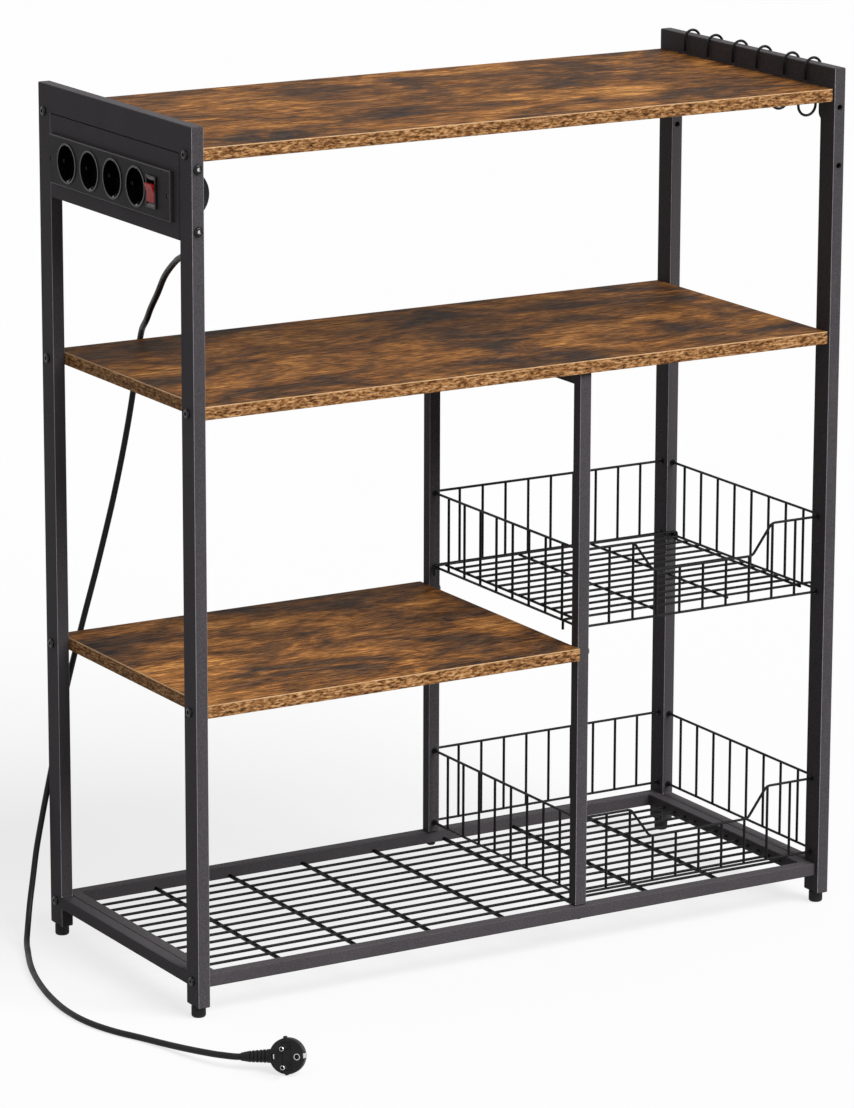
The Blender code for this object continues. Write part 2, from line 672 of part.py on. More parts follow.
def baskets():
    left, right = middle_right + GAP, inner_right
    front, rear = middle_post_y, DEPTH - middle_post_y
    inside = middle_post_y + RAIL_TUBE / 2 + GAP
    for title, base in (("upper", LOWER_BOARD_HEIGHT + UPPER_BASKET_RISE),
                        ("lower", rail_top + LOWER_BASKET_RISE)):
        basket_panel(title + "_basket_rear", (left, rear), (right, rear), base, LONG_PANEL_PITCH)
        basket_panel(title + "_basket_front", (left, front), (right, front), base,
                     LONG_PANEL_PITCH, dipped=True)
        basket_panel(title + "_basket_left", (MIDDLE_POST_X, inside),
                     (MIDDLE_POST_X, DEPTH - inside), base, SHORT_PANEL_PITCH)
        basket_panel(title + "_basket_right", (WIDTH - POST_WIDTH / 2, POST_DEPTH + GAP),
                     (WIDTH - POST_WIDTH / 2, DEPTH - POST_DEPTH - GAP), base, SHORT_PANEL_PITCH)


def basket_tray():
    """The upper basket's floor: a wire grid that rests on the side panels' bottom wires."""
    base = LOWER_BOARD_HEIGHT + UPPER_BASKET_RISE
    wire_z = base + BASKET_WIRE + GAP
    bar_z = wire_z - BASKET_WIRE + WELD
    front = middle_post_y + TRAY_FRONT_INSET
    rear = DEPTH - middle_post_y - TRAY_REAR_INSET
    left = MIDDLE_POST_X + TRAY_SIDE_INSET
    right = WIDTH - POST_WIDTH / 2 - TRAY_SIDE_INSET
    count = round((rear - front) / TRAY_WIRE_PITCH)
    hooked_left = MIDDLE_POST_X - TRAY_HOOK_REACH
    hooked_right = WIDTH - POST_WIDTH / 2 + TRAY_HOOK_REACH
    wires = []
    for number in range(count + 1):
        y = front + (rear - front) * number / count
        path = [(left - BASKET_WIRE, y, wire_z), (right + BASKET_WIRE, y, wire_z)]
        if number in (0, count):
            path = [(hooked_left, y, wire_z - TRAY_HOOK_DROP), (hooked_left, y, wire_z),
                    (hooked_right, y, wire_z), (hooked_right, y, wire_z - TRAY_HOOK_DROP)]
        wires.append(swept(path, BASKET_WIRE / 2, BASKET_WIRE_SIDES))
    bars = []
    for number in range(TRAY_BAR_COUNT):
        x = left + (right - left) * number / (TRAY_BAR_COUNT - 1)
        bars.append(swept([(x, front - BASKET_WIRE, bar_z), (x, rear + BASKET_WIRE, bar_z)],
                          BASKET_WIRE / 2, BASKET_WIRE_SIDES))
    place("upper_basket_tray", combined(joined(*wires), joined(*bars), 'UNION'), "black_wire")


def socket_panel():
    """Sheet between the left posts, flush with them, with a flange at each post."""
    low_y, high_y = POST_DEPTH + GAP, DEPTH - POST_DEPTH - GAP
    top = top_rail_base - SEAM
    sheet = box((0, low_y, top - PANEL_HEIGHT), (SHEET, high_y, top))
    flanges = [box((SHEET / 2, y, top - PANEL_HEIGHT), (PANEL_FLANGE, y + SHEET, top))
               for y in (low_y, high_y - SHEET)]
    mesh = combined(sheet, joined(*flanges), 'UNION')
    half = SOCKET_RADIUS + 2 * GAP
    window = box((-OVERRUN, switch_y - SWITCH_WIDTH / 2 - 2 * GAP, strip_z - half),
                 (SHEET + OVERRUN, socket_places[0] + half, strip_z + half))
    holes = [bore((POST_WIDTH / 2, y - OVERRUN, z), (POST_WIDTH / 2, y + OVERRUN, z), bolt_hole)
             for y in (low_y, high_y) for z in panel_bolt_heights]
    place("socket_panel", cut(mesh, window, *holes), "powder_coat")


def strip_outline(inset):
    """D section of the strip's housing: straight sides, then half a round."""
    radius = STRIP_HEIGHT / 2
    front = SHEET + GAP
    centre = front + STRIP_FLAT
    points = [(front, strip_z + radius - inset), (front, strip_z - radius + inset)]
    for step in range(HOUSING_STEPS + 1):
        angle = pi * (step / HOUSING_STEPS - 1 / 2)
        points.append((centre + (radius - inset) * cos(angle), strip_z + (radius - inset) * sin(angle)))
    return points


def along_strip(outline, low, high):
    """An outline of (x, z) pairs extruded along Y."""
    def build(work):
        face = work.faces.new([work.verts.new((x, low, z)) for x, z in outline])
        result = bmesh.ops.extrude_face_region(work, geom=[face])
        raised = [item for item in result["geom"] if isinstance(item, bmesh.types.BMVert)]
        bmesh.ops.translate(work, verts=raised, vec=(0, high - low, 0))
    return mesh_from(build)


def strip_housing():
    outer = along_strip(strip_outline(0), strip_front, strip_rear)
    cavity = [(x - (OVERRUN if number < 2 else 0), z)
              for number, (x, z) in enumerate(strip_outline(STRIP_WALL))]
    inner = along_strip(cavity, strip_front + STRIP_WALL, strip_rear - STRIP_WALL)
    base = strip_z - STRIP_HEIGHT / 2
    hole = bore((LEAD_X, lead_y, base - OVERRUN), (LEAD_X, lead_y, base + GLAND_SPIGOT),
                GLAND_SPIGOT_RADIUS + GAP)
    place("strip_housing", cut(outer, inner, hole), "black_plastic", smooth=True)


def strip_face_plate():
    half = STRIP_HEIGHT / 2
    mesh = rounded_box((-STRIP_PROUD, strip_front, strip_z - half),
                       (-GAP, strip_rear, strip_z + half), STRIP_ROUNDING)
    front, rear = -STRIP_PROUD - OVERRUN, OVERRUN
    cutters = [bore((front, y, strip_z), (rear, y, strip_z), SOCKET_RADIUS + GAP, WELL_SIDES)
               for y in socket_places]
    cutters.append(box((front, switch_y - SWITCH_WIDTH / 2 - GAP, strip_z - SWITCH_HEIGHT / 2 - GAP),
                       (rear, switch_y + SWITCH_WIDTH / 2 + GAP, strip_z + SWITCH_HEIGHT / 2 + GAP)))
    recesses = [bore((front, y, strip_z), (STRIP_SCREW_SINK - STRIP_PROUD, y, strip_z),
                     STRIP_SCREW_RADIUS)
                for y in (strip_front + STRIP_SCREW_INSET, strip_rear - STRIP_SCREW_INSET)]
    place("strip_face_plate", cut(cut(mesh, *cutters), *recesses), "black_plastic")


def socket_mesh():
    """Round well with a rim, two pin holes and the two side ribs that guide a plug.
    Its axis is Z and its rim's front face is at zero."""
    outside, inside = SOCKET_RADIUS, SOCKET_RADIUS - SOCKET_WALL
    rim = SOCKET_RADIUS + SOCKET_RIM
    profile = [(0, SOCKET_DEPTH), (inside, SOCKET_DEPTH), (inside, 0), (rim, 0),
               (rim, SOCKET_RIM_PROUD), (outside, SOCKET_RIM_PROUD),
               (outside, SOCKET_DEPTH + SOCKET_FLOOR), (0, SOCKET_DEPTH + SOCKET_FLOOR)]
    mesh = turned(profile, WELL_SIDES)
    guide = 2 * SOCKET_WALL
    ribs = []
    for turn in (0, pi):
        rib = box((inside - guide, -guide, SOCKET_DEPTH / 3),
                  (inside + SOCKET_WALL / 2, guide, SOCKET_DEPTH + SOCKET_FLOOR / 2))
        ribs.append(moved(rib, Matrix.Rotation(turn, 4, 'Z')))
    mesh = combined(mesh, joined(*ribs), 'UNION')
    holes = [bore((side * PIN_SPACING / 2, 0, SOCKET_DEPTH - OVERRUN),
                  (side * PIN_SPACING / 2, 0, SOCKET_DEPTH + SOCKET_FLOOR + OVERRUN), PIN_HOLE_RADIUS)
             for side in (-1, 1)]
    return cut(mesh, *holes)


def sockets():
    mesh = socket_mesh()
    facing = Matrix(((0, 0, 1), (1, 0, 0), (0, 1, 0)))
    for number, y in enumerate(socket_places):
        front = -STRIP_PROUD - SOCKET_RIM_PROUD - GAP
        place("socket_" + str(number + 1), mesh, "socket_plastic", (front, y, strip_z), facing,
              smooth=True)


def busbars():
    """Brass bars behind the wells: live and neutral with a tab at each pin, and an earth bar
    whose legs grip each well above and below."""
    front = SOCKET_DEPTH + SOCKET_FLOOR - STRIP_PROUD - SOCKET_RIM_PROUD
    for name, side in (("live_busbar", 1), ("neutral_busbar", -1)):
        middle = strip_z + side * BUSBAR_SPREAD
        ends = (socket_places[-1] - PIN_SPACING, socket_places[0] + PIN_SPACING)
        bar = box((front, ends[0], middle - BUSBAR_HEIGHT / 2),
                  (front + BUSBAR_THICKNESS, ends[1], middle + BUSBAR_HEIGHT / 2))
        tabs = []
        for y in socket_places:
            pin = y + side * PIN_SPACING / 2
            low, high = sorted((middle, strip_z - side * TAB_WIDTH / 2))
            tabs.append(box((front + BUSBAR_THICKNESS / 4, pin - TAB_WIDTH / 2, low),
                            (front + BUSBAR_THICKNESS * 3 / 4, pin + TAB_WIDTH / 2, high)))
        place(name, combined(bar, joined(*tabs), 'UNION'), "brass")
    front = front + EARTH_BAR_SET
    back = front + BUSBAR_THICKNESS
    bar = box((front, socket_places[-1] - PIN_SPACING, strip_z - BUSBAR_HEIGHT / 2),
              (back, socket_places[0] + PIN_SPACING, strip_z + BUSBAR_HEIGHT / 2))
    grip = SOCKET_RADIUS + GAP
    arms = []
    for y in socket_places:
        low, high = y - TAB_WIDTH / 2, y + TAB_WIDTH / 2
        arm = along_strip([(back - GAP, strip_z - grip - BUSBAR_THICKNESS),
                           (EARTH_LEG_START, strip_z - grip - BUSBAR_THICKNESS),
                           (EARTH_LEG_START, strip_z - grip), (front + GAP, strip_z - grip),
                           (front + GAP, strip_z + grip), (EARTH_LEG_START, strip_z + grip),
                           (EARTH_LEG_START, strip_z + grip + BUSBAR_THICKNESS),
                           (back - GAP, strip_z + grip + BUSBAR_THICKNESS)], low, high)
        arms.append(arm)
    place("earth_busbar", combined(bar, joined(*arms), 'UNION'), "brass")


def switch():
    """Snap-in switch: a bezel and body with a pocket, and a rocker on two trunnions."""
    front = bezel_face
    lip = -STRIP_PROUD - GAP
    bezel = rounded_box((front, switch_y - BEZEL_WIDTH / 2, strip_z - BEZEL_HEIGHT / 2),
                        (lip, switch_y + BEZEL_WIDTH / 2, strip_z + BEZEL_HEIGHT / 2), BEZEL_EDGE)
    body = box((lip - GAP, switch_y - SWITCH_WIDTH / 2, strip_z - SWITCH_HEIGHT / 2),
               (SWITCH_DEPTH - STRIP_PROUD, switch_y + SWITCH_WIDTH / 2, strip_z + SWITCH_HEIGHT / 2))
    half = hypot(ROCKER_HEIGHT / 2, rocker_corner) + ROCKER_PLAY
    deep = rocker_pivot + ROCKER_SINK + ROCKER_HEIGHT / 2 * sin(ROCKER_TILT) + ROCKER_PLAY
    wide = ROCKER_WIDTH / 2 + ROCKER_PLAY
    pocket = box((front - OVERRUN, switch_y - wide, strip_z - half),
                 (deep, switch_y + wide, strip_z + half))
    ramp = BEZEL_HEIGHT / 2 - TUBE_ROUNDING
    slopes = [along_strip([(front - OVERRUN, strip_z + side * ramp), (front, strip_z + side * ramp),
                           (front + BEZEL_PROUD, strip_z + side * (half - OVERRUN)),
                           (front - OVERRUN, strip_z + side * (half - OVERRUN))],
                          switch_y - wide, switch_y + wide) for side in (1, -1)]
    reach = ROCKER_WIDTH / 2 + TRUNNION_LENGTH + ROCKER_PLAY
    axle_hole = bore((rocker_pivot, switch_y - reach, strip_z),
                     (rocker_pivot, switch_y + reach, strip_z), TRUNNION_RADIUS + GAP)
    mesh = combined(bezel, body, 'UNION')
    for cutter in (pocket, *slopes, axle_hole):
        mesh = cut(mesh, cutter)
    place("switch_body", mesh, "black_plastic")


def rocker():
    """The rocker's origin is on its pivot. It rests with its lower half pressed in."""
    half = ROCKER_HEIGHT / 2
    back = half * ROCKER_BACK_SHARE
    outline = [(-ROCKER_RISE, 0), (-rocker_corner, half), (0, half), (ROCKER_SINK, back),
               (ROCKER_SINK, -back), (0, -half), (-rocker_corner, -half)]
    mesh = along_strip(outline, -ROCKER_WIDTH / 2, ROCKER_WIDTH / 2)
    reach = ROCKER_WIDTH / 2 + TRUNNION_LENGTH
    trunnion = rod((0, -reach, 0), (0, reach, 0), TRUNNION_RADIUS, BORE_SIDES)
    mesh = combined(mesh, trunnion, 'UNION')
    turn = Matrix.Rotation(-ROCKER_TILT, 3, 'Y')
    place("switch_rocker", mesh, "red_lens", (rocker_pivot, switch_y, strip_z), turn)


def lead_start(distance):
    """Where the lead's centre line is, that far from the strip, and its direction there."""
    turn = min(max(distance - LEAD_STRAIGHT, 0) / LEAD_BEND_RADIUS, LEAD_BEND)
    out = LEAD_BEND_RADIUS * (1 - cos(turn))
    down = min(distance, LEAD_STRAIGHT) + LEAD_BEND_RADIUS * sin(turn)
    heading = Vector((cos(LEAD_HEADING), sin(LEAD_HEADING), 0))
    top = Vector((LEAD_X, lead_y, strip_z - STRIP_HEIGHT / 2 - GAP))
    return top + heading * out - Vector((0, 0, down)), heading * sin(turn) - Vector((0, 0, cos(turn)))


def gland():
    """Tapered sleeve that the lead leaves the strip by, with a spigot in the housing. It
    starts to bend with the lead."""
    path = [lead_start(GLAND_LENGTH * share)[0] for share, radius in GLAND_SHAPE]
    radii = [radius for share, radius in GLAND_SHAPE]
    spigot = path[0] + Vector((0, 0, GLAND_SPIGOT))
    squared = path[-1] - lead_start(GLAND_LENGTH)[1] * LEAD_SQUARE
    path = [spigot, path[0], *path[:-1], squared, path[-1]]
    radii = [GLAND_SPIGOT_RADIUS, GLAND_SPIGOT_RADIUS, *radii, radii[-1]]
    place("lead_gland", swept(path, radii, RING_SIDES), "rubber", smooth=True)


def bolts():
    long_bolt = bolt_mesh(POST_WIDTH + BOLT_BITE)
    rightwards = Matrix.Rotation(pi / 2, 3, 'Y')
    leftwards = Matrix.Rotation(-pi / 2, 3, 'Y')
    rows = (("top_board", bolt_heights[0], True), ("middle_board", bolt_heights[1], True),
            ("lower_board", bolt_heights[2], False), ("rack", rack_bolt_height, True))
    for title, z, both in rows:
        for end, y in (("front", post_centre), ("rear", DEPTH - post_centre)):
            name = title + "_bolt_left_" + end
            place(name, long_bolt, "bolt_steel", (0, y, z), rightwards, smooth=True)
            if both:
                name = title + "_bolt_right_" + end
                place(name, long_bolt, "bolt_steel", (WIDTH, y, z), leftwards, smooth=True)
    panel_bolt = bolt_mesh(POST_DEPTH + GAP + SHEET + PANEL_BOLT_BITE)
    rearwards = Matrix.Rotation(-pi / 2, 3, 'X')
    forwards = Matrix.Rotation(pi / 2, 3, 'X')
    for end, z in zip(("upper", "lower"), panel_bolt_heights):
        place("panel_bolt_front_" + end, panel_bolt, "bolt_steel", (POST_WIDTH / 2, 0, z),
              rearwards, smooth=True)
        place("panel_bolt_rear_" + end, panel_bolt, "bolt_steel", (POST_WIDTH / 2, DEPTH, z),
              forwards, smooth=True)


def feet():
    """Levelling feet, screwed right in. Each one's origin is on its stem's axis."""
    top = POST_BASE - GAP
    profile = [(0, 0), (FOOT_SOLE_RADIUS, 0), (FOOT_RADIUS, top * FOOT_BEVEL_SHARE),
               (FOOT_RADIUS, top),
               (STEM_RADIUS, top), (STEM_RADIUS, POST_BASE + STEM_LENGTH),
               (0, POST_BASE + STEM_LENGTH)]
    mesh = turned(profile)
    for side, x in (("left", POST_WIDTH / 2), ("right", WIDTH - POST_WIDTH / 2)):
        for end, y in (("front", post_centre), ("rear", DEPTH - post_centre)):
            place("foot_" + side + "_" + end, mesh, "rubber", (x, y, 0), smooth=True)


def hooks():
    """S hooks whose upper bend rests on the two rounded edges of the right top rail."""
    inner = HOOK_RADIUS - HOOK_WIRE / 2 - GAP
    half = POST_WIDTH / 2 - TUBE_ROUNDING
    sink = TUBE_ROUNDING + sqrt((inner - TUBE_ROUNDING) ** 2 - half ** 2)
    leg = -HOOK_LEG
    path = [(-HOOK_RADIUS, 0, -HOOK_TAIL)]
    path += arc((0, 0), HOOK_RADIUS, pi, 0)
    path += arc((HOOK_RADIUS + HOOK_LOOP_RADIUS, leg), HOOK_LOOP_RADIUS, pi, 2 * pi)
    path.append((HOOK_RADIUS + 2 * HOOK_LOOP_RADIUS, 0, leg + HOOK_TIP))
    mesh = swept(path, HOOK_WIRE / 2)
    for number, share in enumerate(HOOK_SHARES):
        place("hook_" + str(number + 1), mesh, "black_wire",
              (WIDTH - POST_WIDTH / 2, DEPTH * share, HEIGHT - sink), smooth=True)


def plug_frame():
    """Axes of the plug: along its tail, across its face, and out of its face."""
    tail = Vector(PLUG_TAIL_DIRECTION).normalized()
    level = Vector((-tail.y, tail.x, 0)).normalized()
    out = Matrix.Rotation(PLUG_LEAN, 3, tail) @ level
    up = out.cross(tail)
    return Matrix((tail, up, out)).transposed()


def plug():
    """Angled plug on its rim: a round body, a ribbed tail for the lead, two pins on a bridge."""
    body = turned([(0, -PLUG_THICKNESS), (PLUG_BACK_RADIUS, -PLUG_THICKNESS),
                   (PLUG_RADIUS, -PLUG_SHOULDER), (PLUG_RADIUS, 0), (0, 0)], WELL_SIDES)
    path = [(PLUG_TAIL_START, 0, -PLUG_TAIL_SET)]
    radii = [PLUG_NECK_RADIUS]
    ribs_end = PLUG_RIB_START + PLUG_RIB_PITCH * PLUG_RIB_COUNT
    taper = (PLUG_NECK_RADIUS - PLUG_WAIST_RADIUS) / (ribs_end - PLUG_TAIL_START)
    slope = PLUG_RIB_SHARE + PLUG_RIB_EDGE_SHARE
    rib = ((0, 0), (PLUG_RIB_SHARE, 0), (slope, PLUG_GROOVE),
           (1 - PLUG_RIB_EDGE_SHARE, PLUG_GROOVE))
    for number in range(PLUG_RIB_COUNT):
        for share, depth in rib:
            distance = PLUG_RIB_START + PLUG_RIB_PITCH * (number + share)
            path.append((distance, 0, -PLUG_TAIL_SET))
            radii.append(PLUG_NECK_RADIUS - taper * (distance - PLUG_TAIL_START) - depth)
    path += [(ribs_end, 0, -PLUG_TAIL_SET), (PLUG_TAIL_END, 0, -PLUG_TAIL_SET)]
    radii += [PLUG_WAIST_RADIUS, PLUG_END_RADIUS]
    mesh = combined(body, swept(path, radii, PLUG_TAIL_SIDES), 'UNION')
    length = PIN_SPACING + PIN_BRIDGE_WIDTH
    pocket = box((-PIN_BRIDGE_WIDTH / 2 - GAP, -length / 2 - GAP, -PIN_BRIDGE_DEPTH - GAP),
                 (PIN_BRIDGE_WIDTH / 2 + GAP, length / 2 + GAP, OVERRUN))
    turn = plug_frame()
    place("plug_body", cut(mesh, pocket), "rubber", PLUG_PLACE, turn)
    bridge = rounded_box((-PIN_BRIDGE_WIDTH / 2, -length / 2, -PIN_BRIDGE_DEPTH),
                         (PIN_BRIDGE_WIDTH / 2, length / 2, 0), GAP)
    pin = [(0, -PIN_BRIDGE_DEPTH / 2), (PLUG_PIN_RADIUS, -PIN_BRIDGE_DEPTH / 2),
           (PLUG_PIN_RADIUS, PLUG_PIN_LENGTH - PIN_ROUND),
           (PLUG_PIN_RADIUS - PIN_ROUND, PLUG_PIN_LENGTH), (0, PLUG_PIN_LENGTH)]
    pins = [moved(turned(pin, BORE_SIDES), Matrix.Translation((0, side * PIN_SPACING / 2, 0)))
            for side in (-1, 1)]
    place("plug_pins", combined(bridge, joined(*pins), 'UNION'), "nickel", PLUG_PLACE, turn)


def mains_lead():
    """The lead is a curve with a round section, from the gland's end to the plug's tail."""
    turn = plug_frame()
    face = Vector(PLUG_PLACE)
    tail = [face + turn @ Vector((distance, 0, -PLUG_TAIL_SET))
            for distance in (PLUG_TAIL_END + LEAD_RADIUS, PLUG_TAIL_END + GAP)]
    bend_end = LEAD_STRAIGHT + LEAD_BEND_RADIUS * LEAD_BEND
    bend_steps = round((bend_end - GLAND_LENGTH) / LEAD_BEND_STEP)
    distances = [GLAND_LENGTH + GAP + (bend_end - GLAND_LENGTH) * step / bend_steps
                 for step in range(bend_steps + 1)]
    bend = [lead_start(distance)[0] for distance in distances]
    squared = bend[0] + lead_start(distances[0])[1] * LEAD_SQUARE
    middle, length = smooth_route([bend[-1], *map(Vector, LEAD_ROUTE), tail[0]], LEAD_STEP)
    length += bend_end
    route = [bend[0], squared, *bend[1:-1], *middle, tail[1]]
    print("lead length", round(length, 3), "points", len(route))
    curve = bpy.data.curves.new("mains_lead", 'CURVE')
    curve.dimensions = '3D'
    curve.bevel_depth = LEAD_RADIUS
    curve.bevel_resolution = 2
    curve.use_fill_caps = True
    spline = curve.splines.new('POLY')
    spline.points.add(len(route) - 1)
    for point, where in zip(spline.points, route):
        point.co = (*where, 1)
    lead = bpy.data.objects.new("mains_lead", curve)
    bpy.context.collection.objects.link(lead)
    curve.materials.append(finish_material("rubber"))
    lead.parent = shelf


clear_scene()
shelf = bpy.data.objects.new("shelf_origin", None)
bpy.context.collection.objects.link(shelf)
shelf.location = ((rocker_reach - hook_reach) / 2, -DEPTH / 2, 0)

side_frames()
middle_frame()
boards()
bottom_rack()
baskets()
basket_tray()
socket_panel()
strip_housing()
strip_face_plate()
sockets()
busbars()
switch()
rocker()
gland()
bolts()
feet()
hooks()
plug()
mains_lead()
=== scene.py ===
import math
import bpy
from mathutils import Matrix, Vector


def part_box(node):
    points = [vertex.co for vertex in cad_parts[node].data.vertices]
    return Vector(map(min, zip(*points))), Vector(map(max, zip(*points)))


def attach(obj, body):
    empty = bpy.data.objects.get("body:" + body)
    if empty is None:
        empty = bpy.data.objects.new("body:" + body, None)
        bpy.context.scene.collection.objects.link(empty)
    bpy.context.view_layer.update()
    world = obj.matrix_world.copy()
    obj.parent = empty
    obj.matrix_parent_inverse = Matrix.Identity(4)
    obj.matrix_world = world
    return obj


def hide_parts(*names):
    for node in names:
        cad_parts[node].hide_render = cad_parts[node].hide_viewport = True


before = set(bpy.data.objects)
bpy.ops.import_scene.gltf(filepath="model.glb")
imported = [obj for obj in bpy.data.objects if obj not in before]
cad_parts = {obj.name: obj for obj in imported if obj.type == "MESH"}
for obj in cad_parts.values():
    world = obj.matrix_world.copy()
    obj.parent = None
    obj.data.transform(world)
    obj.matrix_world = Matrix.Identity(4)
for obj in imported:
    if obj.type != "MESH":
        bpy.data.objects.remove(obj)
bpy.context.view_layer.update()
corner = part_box("left_side_frame")[0]
corner = Vector((corner.x, corner.y, 0))  # floor under the front left post's outer corner
print("frame loaded")

# Lengths are metres. X runs right from the left posts' outer faces, Y back from the
# posts' front faces, Z up from the floor.
shelf = {
    "width": 0.800, "depth": 0.345, "height": 0.945,
    "postWidth": 0.014, "postDepth": 0.027, "postBase": 0.0125,
    "topRail": 0.030, "railBase": 0.033, "tube": 0.014,
    "topBoard": 0.9225, "middleBoard": 0.6555, "lowerBoard": 0.3395, "boardThickness": 0.014,
    "middlePostX": 0.4774, "middlePostY": 0.0154,
    "gap": 0.0003,
}
gap, tube = shelf["gap"], shelf["tube"]
depth, middleX, middleY = shelf["depth"], shelf["middlePostX"], shelf["middlePostY"]
innerLeft = shelf["postWidth"] + gap
innerRight = shelf["width"] - innerLeft
railTop = shelf["railBase"] + tube
postCentre = shelf["postDepth"] / 2
postMiddle = shelf["postWidth"] / 2
topRailBase = shelf["height"] - shelf["topRail"]
boltHeights = [shelf[name] - shelf["boardThickness"] / 2
               for name in ("topBoard", "middleBoard", "lowerBoard")]
rackBoltHeight = shelf["railBase"] + tube / 2
panelBoltHeights = (0.902, 0.8383)  # upper and lower; both side frames have the holes
facing = 0.9  # how square to an axis a face or an edge has to be to be picked
near = 0.0001  # how far off a plane a point may be and still count as in it
through = 0.01  # how far a cutter reaches past the surface that it cuts
mergeWithin = 0.00001  # points closer than this become one


def spot(x, y, z):
    return corner + Vector((x, y, z))


def clearPick():
    if bpy.context.mode != 'OBJECT':
        bpy.ops.object.mode_set(mode='OBJECT')
    bpy.ops.object.select_all(action='DESELECT')


def useOnly(*pieces):
    clearPick()
    for piece in pieces:
        piece.select_set(True)
    bpy.context.view_layer.objects.active = pieces[0]


def settle(piece, name=None):
    # the place, turn and size go into the mesh, and the object stays at the origin
    useOnly(piece)
    bpy.ops.object.transform_apply(location=True, rotation=True, scale=True)
    if name:
        piece.name = name
        piece.data.name = name
    return piece


def block(name, low, high):
    clearPick()
    low, high = spot(*map(min, low, high)), spot(*map(max, low, high))
    bpy.ops.mesh.primitive_cube_add(size=1, location=(low + high) / 2, scale=high - low)
    return settle(bpy.context.object, name)


def rod(name, start, end, radius, sides=16):
    clearPick()
    start, end = spot(*start), spot(*end)
    turn = (end - start).to_track_quat('Z', 'Y').to_euler()
    bpy.ops.mesh.primitive_cylinder_add(vertices=sides, radius=radius, depth=(end - start).length,
                                        location=(start + end) / 2, rotation=turn)
    return settle(bpy.context.object, name)


def startPick(piece, kind):
    useOnly(piece)
    bpy.ops.object.mode_set(mode='EDIT')
    bpy.ops.mesh.select_mode(type=kind)
    bpy.ops.mesh.select_all(action='DESELECT')
    bpy.ops.object.mode_set(mode='OBJECT')


def pickFaces(piece, test):
    # leaves edit mode on with the faces chosen by their centre, from the corner, and normal
    startPick(piece, 'FACE')
    for face in piece.data.polygons:
        face.select = bool(test(face.center - corner, face.normal))
    bpy.ops.object.mode_set(mode='EDIT')


def pickEdges(piece, test):
    # the same for edges, by their middle and direction
    startPick(piece, 'EDGE')
    points = piece.data.vertices
    for edge in piece.data.edges:
        a, b = (points[number].co for number in edge.vertices)
        edge.select = bool(test((a + b) / 2 - corner, (b - a).normalized()))
    bpy.ops.object.mode_set(mode='EDIT')


def bevelWhere(piece, test, width, segments):
    pickEdges(piece, test)
    bpy.ops.mesh.bevel(offset=width, segments=segments, affect='EDGES')
    bpy.ops.object.mode_set(mode='OBJECT')


def splitAt(piece, axis, *values):
    # new edges all round at each value along the axis, which is 0, 1 or 2 for X, Y or Z
    useOnly(piece)
    bpy.ops.object.mode_set(mode='EDIT')
    for value in values:
        normal, place = [0, 0, 0], [0, 0, 0]
        normal[axis], place[axis] = 1, value
        bpy.ops.mesh.select_all(action='SELECT')
        bpy.ops.mesh.bisect(plane_co=spot(*place), plane_no=normal)
    bpy.ops.object.mode_set(mode='OBJECT')


def pull(x=0, y=0, z=0):
    # draws the picked faces or points out by that much, in edit mode
    bpy.ops.mesh.extrude_region_move(TRANSFORM_OT_translate={"value": (x, y, z)})


def tunnel(piece, test):
    # a window straight through: its two end faces are bridged
    pickFaces(piece, test)
    bpy.ops.mesh.bridge_edge_loops()
    bpy.ops.object.mode_set(mode='OBJECT')


def finishWith(piece, kind, **settings):
    useOnly(piece)
    modifier = piece.modifiers.new(kind, kind)
    for key, value in settings.items():
        setattr(modifier, key, value)
    bpy.ops.object.modifier_apply(modifier=modifier.name)


def roundEdges(piece, width, segments=3, angle=30):
    finishWith(piece, 'BEVEL', width=width, segments=segments, limit_method='ANGLE',
               angle_limit=math.radians(angle))


def smooth(piece, angle=40, weighted=True):
    useOnly(piece)
    bpy.ops.object.shade_smooth_by_angle(angle=math.radians(angle))
    if weighted:
        finishWith(piece, 'WEIGHTED_NORMAL', keep_sharp=True, weight=80)
    return piece


def cutOut(piece, *cutters):
    # takes the cutters' shapes away from the piece, and the cutters with them
    for cutter in cutters:
        finishWith(piece, 'BOOLEAN', operation='DIFFERENCE', solver='EXACT', object=cutter)
        bpy.data.objects.remove(cutter)
    return piece


def gather(name, pieces):
    useOnly(*pieces)
    if len(pieces) > 1:
        bpy.ops.object.join()
    return settle(bpy.context.object, name)


def tidyShell(piece):
    # points that lie together become one, and every face looks outward
    useOnly(piece)
    bpy.ops.object.mode_set(mode='EDIT')
    bpy.ops.mesh.select_all(action='SELECT')
    bpy.ops.mesh.remove_doubles(threshold=mergeWithin)
    bpy.ops.mesh.normals_make_consistent(inside=False)
    bpy.ops.object.mode_set(mode='OBJECT')


def repeated(piece, step, count):
    finishWith(piece, 'ARRAY', count=count, use_relative_offset=False, use_constant_offset=True,
               constant_offset_displace=step)
    return piece


def copyTo(piece, name, place=(0, 0, 0), turn=None):
    useOnly(piece)
    bpy.ops.object.duplicate(linked=False)
    copied = bpy.context.object
    turn = turn or Matrix.Identity(3)
    copied.matrix_world = Matrix.Translation(place) @ turn.to_4x4()
    return settle(copied, name)


